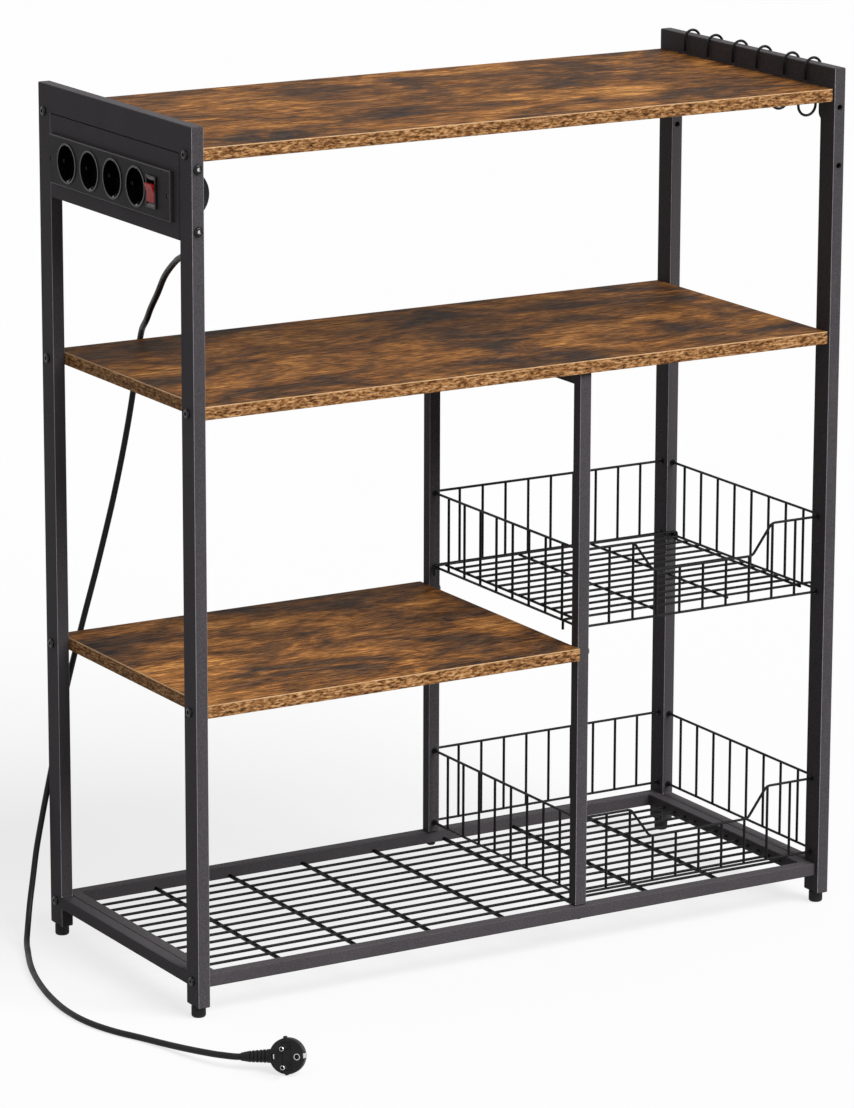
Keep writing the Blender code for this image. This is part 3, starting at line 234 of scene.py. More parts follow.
def wire(name, points, radius, bend=0, steps=4, radii=None, resolution=2):
    # a vertex is extruded from point to point, the corners are rounded, and the line
    # becomes a curve with a round section
    clearPick()
    bpy.ops.mesh.primitive_plane_add(size=radius, location=points[0])
    bpy.ops.object.mode_set(mode='EDIT')
    bpy.ops.mesh.select_mode(type='VERT')
    bpy.ops.mesh.select_all(action='SELECT')
    bpy.ops.mesh.merge(type='CENTER')
    for a, b in zip(points, points[1:]):
        pull(*(Vector(b) - Vector(a)))
    if bend:
        bpy.ops.mesh.select_all(action='SELECT')
        bpy.ops.mesh.bevel(offset=bend, segments=steps, affect='VERTICES')
    bpy.ops.object.mode_set(mode='OBJECT')
    bpy.ops.object.convert(target='CURVE')
    line = bpy.context.object.data
    line.bevel_depth = radius
    line.bevel_resolution = resolution
    line.use_fill_caps = True
    if radii:
        for point, share in zip(line.splines[0].points, radii):
            point.radius = share / radius
    bpy.ops.object.convert(target='MESH')
    piece = settle(bpy.context.object, name)
    tidyShell(piece)
    return piece


def dress(piece, finish, slot, body, *nodes):
    # finish, slot (not used), the body it rides on and the frame's nodes that it stands for
    if finish:
        piece.data.materials.clear()
        piece.data.materials.append(finish)
    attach(piece, body)
    if nodes:
        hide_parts(*nodes)
    return piece


# camera, as the photograph was taken; angles in degrees, lens and sensor in millimetres
view = {"place": (-2.4166, -4.5455, 1.7945), "heading": -30.641, "tilt": 75.9215,
        "roll": 0.159, "lens": 168.33, "sensor": 36, "farClip": 100}
clearPick()
bpy.ops.object.camera_add(location=spot(*view["place"]))
camera = bpy.context.object
camera.name = "camera"
camera.matrix_world = (Matrix.Translation(spot(*view["place"]))
                       @ Matrix.Rotation(math.radians(view["heading"]), 4, 'Z')
                       @ Matrix.Rotation(math.radians(view["tilt"]), 4, 'X')
                       @ Matrix.Rotation(math.radians(view["roll"]), 4, 'Z'))
camera.data.lens = view["lens"]
camera.data.sensor_width = view["sensor"]
camera.data.clip_end = view["farClip"]
bpy.context.scene.camera = camera
bpy.context.scene.view_settings.view_transform = 'Standard'
print("camera set")


def twoFinishes(piece, main, other, test):
    # the other finish on the faces that pass the test, chosen as pickFaces does
    piece.data.materials.clear()
    for name in (main, other):
        piece.data.materials.append(finishes[name])
    for face in piece.data.polygons:
        face.material_index = int(test(face.center - corner, face.normal))


def tone(red, green, blue):
    # a colour written as the screen shows it, 0 to 255, made linear
    def linear(value):
        value = value / 255
        return value / 12.92 if value <= 0.04045 else ((value + 0.055) / 1.055) ** 2.4
    return (linear(red), linear(green), linear(blue), 1)


def tones(stops):
    return [(place, tone(*colour)) for place, colour in stops]


def shades(stops):
    return [(place, (*colour, 1)) for place, colour in stops]


def newFinish(name):
    finish = bpy.data.materials.new(name)
    finish.use_nodes = True
    return finish, finish.node_tree.nodes["Principled BSDF"]


def link(finish, source, target):
    finish.node_tree.links.new(source, target)


def addNode(finish, kind, **settings):
    node = finish.node_tree.nodes.new("ShaderNode" + kind)
    for key, value in settings.items():
        setattr(node, key, value)
    return node


def cloud(finish, sizes, detail=4, roughness=0.55, distortion=0, move=(0, 0, 0)):
    # noise whose blotches have those sizes along X, Y and Z
    where = addNode(finish, "TexCoord")
    mapping = addNode(finish, "Mapping")
    mapping.inputs["Location"].default_value = move
    mapping.inputs["Scale"].default_value = [1 / size for size in sizes]
    noise = addNode(finish, "TexNoise")
    noise.inputs["Scale"].default_value = 1
    noise.inputs["Detail"].default_value = detail
    noise.inputs["Roughness"].default_value = roughness
    noise.inputs["Distortion"].default_value = distortion
    link(finish, where.outputs["Object"], mapping.inputs["Vector"])
    link(finish, mapping.outputs["Vector"], noise.inputs["Vector"])
    return noise.outputs["Fac"]


def ramp(finish, factor, *stops):
    node = addNode(finish, "ValToRGB")
    stripes = node.color_ramp.elements
    while len(stripes) < len(stops):
        stripes.new(0.5)
    for stripe, (place, colour) in zip(stripes, stops):
        stripe.position = place
        stripe.color = colour
    link(finish, factor, node.inputs["Fac"])
    return node.outputs["Color"]


def spread(finish, factor, low, high, fromLow=0.3, fromHigh=0.7):
    node = addNode(finish, "MapRange")
    for key, value in (("From Min", fromLow), ("From Max", fromHigh), ("To Min", low),
                       ("To Max", high)):
        node.inputs[key].default_value = value
    link(finish, factor, node.inputs["Value"])
    return node.outputs["Result"]


def mixed(finish, mode, factor, first, second):
    node = addNode(finish, "Mix", data_type='RGBA', blend_type=mode)
    for socket, value in ((node.inputs[0], factor), (node.inputs[6], first),
                          (node.inputs[7], second)):
        if isinstance(value, (int, float, tuple)):
            socket.default_value = value
        else:
            link(finish, value, socket)
    return node.outputs[2]


def cover(finish, surface, colour, rough, gloss):
    link(finish, colour, surface.inputs["Base Color"])
    link(finish, rough, surface.inputs["Roughness"])
    surface.inputs["Specular IOR Level"].default_value = gloss


def bump(finish, surface, height, distance):
    node = addNode(finish, "Bump")
    node.inputs["Distance"].default_value = distance
    link(finish, height, node.inputs["Height"])
    link(finish, node.outputs["Normal"], surface.inputs["Normal"])


def grainedFinish(name, dark, light, grain, blotch, rough, gloss=0.5, metal=0.0, relief=0.00005,
                  blotchShare=0.35):
    # a moulded, coated or metal surface: fine grain, faint larger blotches, uneven gloss
    finish, surface = newFinish(name)
    fine = cloud(finish, grain, detail=3)
    wide = cloud(finish, blotch, detail=4, move=(3.1, 1.7, 0.4))
    base = ramp(finish, fine, *tones(((0.3, dark), (0.7, light))))
    shade = ramp(finish, wide, *shades(((0.3, (0.72,) * 3), (0.7, (1.15,) * 3))))
    colour = mixed(finish, 'MULTIPLY', blotchShare, base, shade)
    cover(finish, surface, colour, spread(finish, wide, *rough), gloss)
    surface.inputs["Metallic"].default_value = metal
    bump(finish, surface, fine, relief)
    return finish


coats = {
    "powder": dict(dark=(65, 62, 65), light=(91, 87, 90), grain=(0.0013,) * 3,
                   blotch=(0.05, 0.05, 0.12), rough=(0.50, 0.62), gloss=0.04, relief=0.00012),
    # the paler coat below is a painted highlight for the posts' rounded front edges
    "powderPaintedHighlight": dict(dark=(148, 146, 150), light=(186, 184, 190), grain=(0.0016,) * 3,
                       blotch=(0.03, 0.03, 0.09), rough=(0.34, 0.46), gloss=0.3,
                       relief=0.00006),
    "wire": dict(dark=(12, 11, 12), light=(24, 23, 24), grain=(0.0012,) * 3,
                 blotch=(0.03,) * 3, rough=(0.38, 0.5), gloss=0.12),
    "housing": dict(dark=(20, 20, 21), light=(30, 30, 31), grain=(0.0010,) * 3,
                    blotch=(0.03,) * 3, rough=(0.34, 0.46), gloss=0.2, relief=0.00004),
    "plate": dict(dark=(50, 48, 50), light=(70, 67, 69), grain=(0.0014,) * 3,
                  blotch=(0.04,) * 3, rough=(0.40, 0.52), gloss=0.04, relief=0.00006),
    # the paler plate coat below is a painted highlight for the face plate's rounded edges
    "platePaintedHighlight": dict(dark=(84, 82, 84), light=(108, 105, 107), grain=(0.0016,) * 3,
                      blotch=(0.03,) * 3, rough=(0.28, 0.40), gloss=0.12, relief=0.00003),
    "well": dict(dark=(8, 8, 9), light=(16, 16, 17), grain=(0.0012,) * 3,
                 blotch=(0.02,) * 3, rough=(0.16, 0.28), gloss=0.3, relief=0.00002),
    "bolt": dict(dark=(6, 6, 7), light=(16, 16, 18), grain=(0.0008,) * 3,
                 blotch=(0.006,) * 3, rough=(0.16, 0.28), gloss=0.3, relief=0.00003),
    "nickel": dict(dark=(196, 196, 194), light=(226, 226, 222), grain=(0.0006, 0.0006, 0.004),
                   blotch=(0.01,) * 3, rough=(0.14, 0.26), metal=1.0, relief=0.00001),
    "brass": dict(dark=(176, 138, 70), light=(208, 170, 96), grain=(0.0008, 0.006, 0.0008),
                  blotch=(0.01,) * 3, rough=(0.22, 0.38), metal=1.0, relief=0.00001),
    "rubber": dict(dark=(20, 19, 20), light=(34, 33, 34), grain=(0.0009,) * 3,
                   blotch=(0.02,) * 3, rough=(0.42, 0.58), gloss=0.2, relief=0.00006),
    "slope": dict(dark=(96, 94, 92), light=(128, 126, 123), grain=(0.0009,) * 3,
                  blotch=(0.01,) * 3, rough=(0.3, 0.42), gloss=0.3),
    # the rim coat below is a painted highlight for the sockets' rims
    "rim": dict(dark=(86, 86, 88), light=(116, 116, 118), grain=(0.0009,) * 3,
                blotch=(0.01,) * 3, rough=(0.25, 0.38), gloss=0.2, relief=0.00002),
}
finishes = {name: grainedFinish(name, **look) for name, look in coats.items()}


rustic = {
    "patch": (0.125, 0.072, 0.072), "smear": (0.045, 0.021, 0.021),
    "streak": (0.042, 0.0044, 0.0044), "fibre": (0.020, 0.0024, 0.0024),
    "tones": ((0.35, (57, 50, 48)), (0.43, (86, 63, 46)), (0.49, (114, 80, 50)),
              (0.56, (145, 101, 58)), (0.66, (186, 136, 80))),
    "smearShades": ((0.38, (0.72, 0.69, 0.68)), (0.60, (1.18, 1.14, 1.1))),
    "streakShades": ((0.38, (0.50, 0.46, 0.43)), (0.58, (1.24, 1.22, 1.18))),
    "fibreShades": ((0.40, (0.46, 0.42, 0.38)), (0.58, (1.42, 1.40, 1.36))),
    # each board's colour level is painted light: one laminate, with the lower board painted
    # lighter
    "paintedLightLevel": {"top": 0.99, "middle": 1.02, "lower": 1.20},
    "move": {"top": (0.4, 2.2, 1.1), "middle": (5.2, 8.4, 3.0), "lower": (2.6, 4.1, 6.5)},
    "rough": (0.50, 0.66), "gloss": 0.02, "relief": 0.00015,
}


def rusticFinish(part):
    # printed board: ragged golden and dark grey-brown patches, flecks, and grain along X
    finish, surface = newFinish("rustic_" + part)
    move, paintedLightLevel = rustic["move"][part], rustic["paintedLightLevel"][part]
    patch = cloud(finish, rustic["patch"], detail=8, roughness=0.66, distortion=0.7, move=move)
    smear = cloud(finish, rustic["smear"], detail=6, roughness=0.66, distortion=1.0, move=move)
    streak = cloud(finish, rustic["streak"], detail=5, roughness=0.7, distortion=0.3, move=move)
    fibre = cloud(finish, rustic["fibre"], detail=4, roughness=0.65, move=move)
    base = ramp(finish, patch, *tones(rustic["tones"]))
    for grain, stops in ((smear, "smearShades"), (streak, "streakShades"),
                         (fibre, "fibreShades")):
        shade = ramp(finish, grain, *shades(rustic[stops]))
        base = mixed(finish, 'MULTIPLY', 1.0, base, shade)
    # the board's colour is scaled by its painted light level
    base = mixed(finish, 'MULTIPLY', 1.0, base, (paintedLightLevel,) * 3 + (1,))
    cover(finish, surface, base, spread(finish, smear, *rustic["rough"]), rustic["gloss"])
    bump(finish, surface, streak, rustic["relief"])
    return finish


edgeBand = {
    "speck": (0.0070, 0.0070, 0.0022), "streak": (0.060, 0.060, 0.0024),
    "tones": ((0.38, (70, 42, 20)), (0.46, (132, 89, 50)), (0.54, (176, 127, 80)),
              (0.63, (214, 170, 122))),
    "streakShades": ((0.36, (0.52, 0.49, 0.46)), (0.50, (1.0, 1.0, 1.0)),
                     (0.70, (1.14, 1.12, 1.08))),
    "streakShare": 0.9, "rough": (0.55, 0.7), "gloss": 0.1, "relief": 0.00012,
}


def edgeFinish(name):
    # edge band: golden speckle, short dark flecks and a few long streaks
    finish, surface = newFinish(name)
    speck = cloud(finish, edgeBand["speck"], detail=4, roughness=0.72)
    streak = cloud(finish, edgeBand["streak"], detail=3, roughness=0.6)
    base = ramp(finish, speck, *tones(edgeBand["tones"]))
    shade = ramp(finish, streak, *shades(edgeBand["streakShades"]))
    base = mixed(finish, 'MULTIPLY', edgeBand["streakShare"], base, shade)
    cover(finish, surface, base, spread(finish, speck, *edgeBand["rough"]), edgeBand["gloss"])
    bump(finish, surface, speck, edgeBand["relief"])
    return finish


lipHighlight = {"speck": (0.012, 0.012, 0.002), "rough": (0.5, 0.62), "gloss": 0.15,
            "tones": ((0.3, (178, 136, 94)), (0.7, (232, 192, 146)))}


def lipHighlightFinish(name):
    # pale line where the face meets the edge band on the upward bevels, a painted highlight
    finish, surface = newFinish(name)
    speck = cloud(finish, lipHighlight["speck"], detail=3, roughness=0.7)
    base = ramp(finish, speck, *tones(lipHighlight["tones"]))
    cover(finish, surface, base, spread(finish, speck, *lipHighlight["rough"]), lipHighlight["gloss"])
    return finish


redPlastic = {"blotch": (0.004, 0.004, 0.006), "rough": (0.28, 0.4), "gloss": 0.12,
              "tones": ((0.3, (188, 22, 26)), (0.7, (236, 58, 60))), "lightShare": 0.08}


def lensFinish(name):
    # red see-through plastic of the lit rocker
    finish, surface = newFinish(name)
    wide = cloud(finish, redPlastic["blotch"], detail=3)
    base = ramp(finish, wide, *tones(redPlastic["tones"]))
    cover(finish, surface, base, spread(finish, wide, *redPlastic["rough"]), redPlastic["gloss"])
    surface.inputs["Transmission Weight"].default_value = redPlastic["lightShare"]
    return finish


boardFinishes = {part: rusticFinish(part) for part in ("top", "middle", "lower")}
bandFinish = edgeFinish("edge_band")
paintedLipHighlight = lipHighlightFinish("board_lip_painted_highlight")
redLens = lensFinish("red_lens")
print("finishes made")

# the plug's own axes: X back along its tail, Y across its face, Z out of its face
plugWay = {"face": (-0.0017, -0.1919, 0.0204), "tail": (-0.728, 0.678, -0.106), "lean": 12.5,
           "tailSet": 0.008, "tailEnd": 0.050}
tailWay = Vector(plugWay["tail"]).normalized()
outWay = Vector((-tailWay.y, tailWay.x, 0)).normalized()
outWay.rotate(Matrix.Rotation(math.radians(plugWay["lean"]), 3, tailWay))
upWay = outWay.cross(tailWay)
plugTurn = Matrix((tailWay, upWay, outWay)).transposed()
plugSpot = spot(*plugWay["face"])

# the sleeve and the lead's first bend: straight down, then an even turn towards the back
sleeveWay = {"top": (0.020, 0.0505, 0.8417), "straight": 0.014, "bendRadius": 0.0275,
             "bend": 62.0, "heading": 71.6, "length": 0.022, "knots": 3}


def sleeveLine(distance):
    # the place and direction that far below the strip
    heading = math.radians(sleeveWay["heading"])
    side = Vector((math.cos(heading), math.sin(heading), 0))
    down = Vector((0, 0, -1))
    straight, radius = sleeveWay["straight"], sleeveWay["bendRadius"]
    turn = min(max(distance - straight, 0) / radius, math.radians(sleeveWay["bend"]))
    place = (spot(*sleeveWay["top"]) + down * (min(distance, straight) + radius * math.sin(turn))
             + side * radius * (1 - math.cos(turn)))
    return place, side * math.sin(turn) + down * math.cos(turn)


# mains lead, from the sleeve's end to the plug's tail
leadWay = {
    "diameter": 0.0068, "length": 1.53, "steps": 8, "roundSteps": 4,
    "points": (
        (0.0370, 0.1040, 0.7890), (0.0570, 0.1700, 0.7585), (0.0725, 0.2150, 0.7320),
        (0.0885, 0.2620, 0.7058), (0.1040, 0.3020, 0.6846), (0.1121, 0.3232, 0.6750),
        (0.1160, 0.3335, 0.6703), (0.1186, 0.3410, 0.6653), (0.1202, 0.3469, 0.6582),
        (0.1206, 0.3507, 0.6496), (0.1198, 0.3520, 0.6403), (0.1180, 0.3520, 0.6284),
        (0.1130, 0.3520, 0.5970), (0.0920, 0.3520, 0.4990), (0.0680, 0.3520, 0.4120),
        (0.0460, 0.3520, 0.3400), (0.0260, 0.3520, 0.2700), (0.0080, 0.3520, 0.1890),
        (-0.0060, 0.3520, 0.1280), (-0.0140, 0.3505, 0.0930), (-0.0205, 0.3460, 0.0660),
        (-0.0285, 0.3385, 0.0400), (-0.0375, 0.3260, 0.0190), (-0.0480, 0.3080, 0.0074),
        (-0.0590, 0.2830, 0.0040), (-0.0760, 0.2420, 0.0035), (-0.0930, 0.1890, 0.0035),
        (-0.1050, 0.1330, 0.0035), (-0.1095, 0.0860, 0.0035), (-0.1070, 0.0480, 0.0035),
        (-0.0960, 0.0070, 0.0035), (-0.0820, -0.0242, 0.0036), (-0.0714, -0.0549, 0.0048),
        (-0.0630, -0.0846, 0.0072), (-0.0549, -0.1119, 0.0099), (-0.0454, -0.1350, 0.0120),
    ),
    "bendStart": (0.1160, 0.3335, 0.6703), "bendEnd": (0.1198, 0.3520, 0.6403),
}
bendEnd = sleeveWay["straight"] + sleeveWay["bendRadius"] * math.radians(sleeveWay["bend"])
leadKnots = []
for number in range(sleeveWay["knots"] + 1):
    share = number / sleeveWay["knots"]
    leadKnots.append(sleeveLine(sleeveWay["length"] + gap
                                + (bendEnd - sleeveWay["length"] - gap) * share))
leadEnd = plugSpot + plugTurn @ Vector((plugWay["tailEnd"] + gap, 0, -plugWay["tailSet"]))
leadPoints = ([knot[0] for knot in leadKnots] + [spot(*point) for point in leadWay["points"]]
              + [leadEnd])
clearPick()
bpy.ops.curve.primitive_bezier_curve_add(location=(0, 0, 0))
lead = bpy.context.object
lead.name = "mains_lead_cord"
lead.data.name = "mains_lead_cord"
lead.data.splines.clear()
line = lead.data.splines.new('BEZIER')
lastKnot = len(leadPoints) - 1
line.bezier_points.add(lastKnot)
for number, (knot, point) in enumerate(zip(line.bezier_points, leadPoints)):
    before, after = leadPoints[max(number - 1, 0)], leadPoints[min(number + 1, lastKnot)]
    back, on = point - before, after - point
    way = back.normalized() * on.length + on.normalized() * back.length
    if number < len(leadKnots):
        way = leadKnots[number][1]
    elif number == lastKnot:
        way = -tailWay
    elif (point - spot(*leadWay["bendStart"])).length < gap:
        way = back  # straight on until the bend over the board's edge
    elif (point - spot(*leadWay["bendEnd"])).length < gap:
        way = on  # and straight on after it
    way = way.normalized()
    knot.handle_left_type = knot.handle_right_type = 'FREE'
    knot.co = point
    knot.handle_left = point - way * back.length / 3
    knot.handle_right = point + way * on.length / 3
lead.data.dimensions = '3D'
lead.data.resolution_u = leadWay["steps"]
lead.data.bevel_depth = leadWay["diameter"] / 2
lead.data.bevel_resolution = leadWay["roundSteps"]
lead.data.use_fill_caps = True
print("lead laid")

# side frames: posts with a deep top rail and a low rail, welded and ground flush
sideFrame = {"rounding": 0.0013, "steps": 3, "hole": 0.0033, "holeSides": 24}


def paintEdgeHighlights(piece):
    # the rounded front edges of the posts catch the light, and the paler finish there is a painted
    # highlight
    twoFinishes(piece, "powder", "powderPaintedHighlight",
                lambda c, n: n.y < -0.3 and 0.3 < abs(n.x) < 0.95)


def makeSideFrame(name, left):
    deep = shelf["postDepth"]
    right = left + shelf["postWidth"]
    piece = block(name, (left, 0, shelf["railBase"]), (right, depth, shelf["height"]))
    splitAt(piece, 1, deep, depth - deep)
    splitAt(piece, 2, railTop, topRailBase)
    tunnel(piece, lambda c, n: abs(n.x) > facing and deep < c.y < depth - deep
           and railTop < c.z < topRailBase)
    pickFaces(piece, lambda c, n: n.z < -facing and c.z < shelf["railBase"] + gap
              and not deep < c.y < depth - deep)
    pull(z=shelf["postBase"] - shelf["railBase"])
    bpy.ops.object.mode_set(mode='OBJECT')
    roundEdges(piece, sideFrame["rounding"], sideFrame["steps"])
    middle = (left + right) / 2
    for y in (postCentre, depth - postCentre):
        for z in panelBoltHeights:
            cutOut(piece, rod("hole", (middle, y - deep, z), (middle, y + deep, z),
                              sideFrame["hole"], sideFrame["holeSides"]))
    smooth(piece)
    paintEdgeHighlights(piece)
    return piece


for node, left in (("left_side_frame", 0),
                   ("right_side_frame", shelf["width"] - shelf["postWidth"])):
    dress(makeSideFrame(node + "_welded", left), None, "powder_coat", "shelf", node)
print("side frames made")

# middle frame: two slim posts and a cross rail under the middle board
middleFrame = {"rounding": 0.0012, "steps": 3}
half = tube / 2
frontPost = middleY - half
innerFront, innerRear = frontPost + tube, depth - frontPost - tube
middleTop = shelf["middleBoard"] - shelf["boardThickness"] - gap
piece = block("middle_frame_welded", (middleX - half, frontPost, middleTop - tube),
              (middleX + half, depth - frontPost, middleTop))
splitAt(piece, 1, innerFront, innerRear)
pickFaces(piece, lambda c, n: n.z < -facing and not innerFront < c.y < innerRear)
pull(z=railTop + gap - middleTop + tube)
bpy.ops.object.mode_set(mode='OBJECT')
roundEdges(piece, middleFrame["rounding"], middleFrame["steps"])
paintEdgeHighlights(smooth(piece))
dress(piece, None, "powder_coat", "shelf", "middle_frame")
print("middle frame made")

# boards: printed faces, an edge band all round and a pale line where they meet on the upward
# bevels, a painted highlight
boards = {"setback": 0.003, "rounding": 0.0009, "steps": 2}


def makeBoard(part, right):
    top = shelf[part + "Board"]
    piece = block(part + "_board_faced",
                  (innerLeft, boards["setback"], top - shelf["boardThickness"]),
                  (right, depth - boards["setback"], top))
    roundEdges(piece, boards["rounding"], boards["steps"])
    for slot in (boardFinishes[part], bandFinish, paintedLipHighlight):
        piece.data.materials.append(slot)
    # upward bevels take the pale line, a painted highlight; downward ones take the edge band
    for face in piece.data.polygons:
        upright = face.normal.z
        face.material_index = 0 if abs(upright) > 0.95 else 2 if upright > 0.2 else 1
    smooth(piece)
    dress(piece, None, "rustic_board", "shelf", part + "_board")


makeBoard("top", innerRight)
makeBoard("middle", innerRight)
makeBoard("lower", middleX - half - gap)
print("boards made")

# bottom rack: square tube frame, thin long wires over thicker cross bars
rack = {"setback": 0.005, "rounding": 0.0012, "steps": 3, "root": 0.003,
        "wire": 0.0032, "wireSides": 12, "pitch": 0.02165, "count": 12, "wireDrop": 0.0073,
        "bar": 0.0046, "barSides": 16, "bars": 7}
front, rear = rack["setback"], depth - rack["setback"]
left, right = innerLeft + tube, innerRight - tube
piece = block("rack_tubes", (innerLeft, front, shelf["railBase"]), (innerRight, rear, railTop))
splitAt(piece, 0, left, right)
splitAt(piece, 1, front + tube, rear - tube)
tunnel(piece, lambda c, n: abs(n.z) > facing and left < c.x < right
       and front + tube < c.y < rear - tube)
roundEdges(piece, rack["rounding"], rack["steps"])
smooth(piece).data.materials.append(finishes["powder"])
parts = [piece]
wireHeight = railTop - rack["wireDrop"]
barHeight = wireHeight - (rack["wire"] + rack["bar"]) / 2 - gap
firstWire = depth / 2 - rack["pitch"] * (rack["count"] - 1) / 2
long = rod("rack_wire", (left - rack["root"], firstWire, wireHeight),
           (right + rack["root"], firstWire, wireHeight), rack["wire"] / 2, rack["wireSides"])
parts.append(smooth(repeated(long, (0, rack["pitch"], 0), rack["count"]), weighted=False))
barStep = (right - left) / (rack["bars"] + 1)
bar = rod("rack_bar", (left + barStep, front + tube - rack["root"], barHeight),
          (left + barStep, rear - tube + rack["root"], barHeight), rack["bar"] / 2,
          rack["barSides"])
parts.append(smooth(repeated(bar, (barStep, 0, 0), rack["bars"]), weighted=False))
for part in parts[1:]:
    part.data.materials.append(finishes["wire"])
piece = gather("bottom_rack_welded", parts)
dress(piece, None, "powder_coat", "shelf", "bottom_rack")
print("rack made")

# fences: rim, bottom wire and uprights, with a flat eyelet at each post
fence = {"wire": 0.003, "sides": 12, "height": 0.0855, "upperBase": 0.3595, "lowerBase": 0.0585,
         "longPitch": 0.0303, "shortPitch": 0.0342, "margin": 0.020, "bend": 0.004,
         "eyelet": 0.0034, "eyeletSides": 24, "eyeletThickness": 0.0012,
         "eyeletRounding": 0.0003, "eyeletSteps": 2,
         "dipStartShare": 0.2015, "dipSlopeShare": 0.0830, "dipEndShare": 0.7980,
         "dipDepth": 0.034}
# a rim's course: shares of its length, and the share of the dip that it has sunk by there
levelCourse = [(0, 0), (1, 0)]
dippedCourse = [(0, 0), (fence["dipStartShare"], 0),
                (fence["dipStartShare"] + fence["dipSlopeShare"], 1),
                (fence["dipEndShare"] - fence["dipSlopeShare"], 1),
                (fence["dipEndShare"], 0), (1, 0)]


def fenceWire(name, points):
    made = [wire(name, [spot(*point) for point in points], fence["wire"] / 2,
                 fence["bend"] if len(points) > 2 else 0)]
    for end, inner in ((points[0], points[1]), (points[-1], points[-2])):
        way = (Vector(inner) - Vector(end)).normalized() * fence["eyeletThickness"]
        eyelet = rod(name, end, Vector(end) + way, fence["eyelet"], fence["eyeletSides"])
        roundEdges(eyelet, fence["eyeletRounding"], fence["eyeletSteps"])
        made.append(eyelet)
    return made


def makeFence(name, start, end, base, pitch, course, node):
    start, end = Vector((*start, 0)), Vector((*end, 0))
    length = (end - start).length
    way = (end - start) / length
    rimHeight = base + fence["height"]
    rim = [start + way * length * share + Vector((0, 0, rimHeight - fence["dipDepth"] * fall))
           for share, fall in course]
    made = fenceWire(name, rim)
    made += fenceWire(name, [start + Vector((0, 0, base)), end + Vector((0, 0, base))])
    count = int((length - 2 * fence["margin"]) / pitch)
    for number in range(count + 1):
        along = length / 2 + (number - count / 2) * pitch
        for (a, fallA), (b, fallB) in zip(course, course[1:]):
            if a * length <= along <= b * length:
                fall = fallA + (fallB - fallA) * (along / length - a) / (b - a)
        place = start + way * along
        made.append(rod(name, place + Vector((0, 0, base)),
                        place + Vector((0, 0, rimHeight - fence["dipDepth"] * fall)),
                        fence["wire"] / 2, fence["sides"]))
    piece = smooth(gather(name, made), weighted=False)
    dress(piece, finishes["wire"], "black_wire", "shelf", node)


fenceLeft = middleX + half + gap
fenceIn = middleY + half + gap
sideX = shelf["width"] - postMiddle
for level in ("upper", "lower"):
    base = fence[level + "Base"]
    for side, start, end, pitch in (
            ("front", (fenceLeft, middleY), (innerRight, middleY), "longPitch"),
            ("rear", (fenceLeft, depth - middleY), (innerRight, depth - middleY), "longPitch"),
            ("left", (middleX, fenceIn), (middleX, depth - fenceIn), "shortPitch"),
            ("right", (sideX, shelf["postDepth"] + gap),
             (sideX, depth - shelf["postDepth"] - gap), "shortPitch")):
        node = level + "_basket_" + side
        makeFence(node + "_fence", start, end, base, fence[pitch],
                  dippedCourse if side == "front" else levelCourse, node)
print("fences made")

# the upper basket's wire floor: long wires over cross bars, the outer two bent down as hooks
tray = {"wire": 0.003, "sides": 12, "pitch": 0.0228, "front": 0.0265, "rear": 0.0145,
        "side": 0.012, "bars": 4, "weld": 0.0009, "hookDrop": 0.011, "hookReach": 0.0055,
        "bend": 0.003}
wireHeight = fence["upperBase"] + tray["wire"] + gap
barHeight = wireHeight - tray["wire"] + tray["weld"]
front = middleY + tray["front"]
rear = depth - middleY - tray["rear"]
left, right = middleX + tray["side"], sideX - tray["side"]
count = round((rear - front) / tray["pitch"])
step = (rear - front) / count
long = rod("tray_wire", (left - tray["wire"], front + step, wireHeight),
           (right + tray["wire"], front + step, wireHeight), tray["wire"] / 2, tray["sides"])
parts = [repeated(long, (0, step, 0), count - 1)]
hookedLeft = middleX - tray["hookReach"]
hookedRight = sideX + tray["hookReach"]
for y in (front, rear):
    path = [(hookedLeft, y, wireHeight - tray["hookDrop"]), (hookedLeft, y, wireHeight),
            (hookedRight, y, wireHeight), (hookedRight, y, wireHeight - tray["hookDrop"])]
    parts.append(wire("tray_wire", [spot(*point) for point in path], tray["wire"] / 2,
                      tray["bend"]))
barStep = (right - left) / (tray["bars"] - 1)
bar = rod("tray_bar", (left, front - tray["wire"], barHeight),
          (left, rear + tray["wire"], barHeight), tray["wire"] / 2, tray["sides"])
parts.append(repeated(bar, (barStep, 0, 0), tray["bars"]))
piece = smooth(gather("upper_basket_tray_grid", parts), weighted=False)
dress(piece, finishes["wire"], "black_wire", "shelf", "upper_basket_tray")
print("tray made")

# where the socket strip sits, and where its sockets and switch are along Y
strip = {"y": 0.175, "z": 0.8685, "length": 0.272, "height": 0.053, "proud": 0.005,
         "rounding": 0.0018, "steps": 4, "wellHole": 0.0208, "wellSides": 64,
         "slotWide": 0.0101, "slotHigh": 0.0153,
         "sockets": (0.26896, 0.21688, 0.16479, 0.11270), "switch": 0.07655,
         "screwInset": 0.0049, "screwHole": 0.0027, "screwSunk": 0.0018, "screwSides": 24}

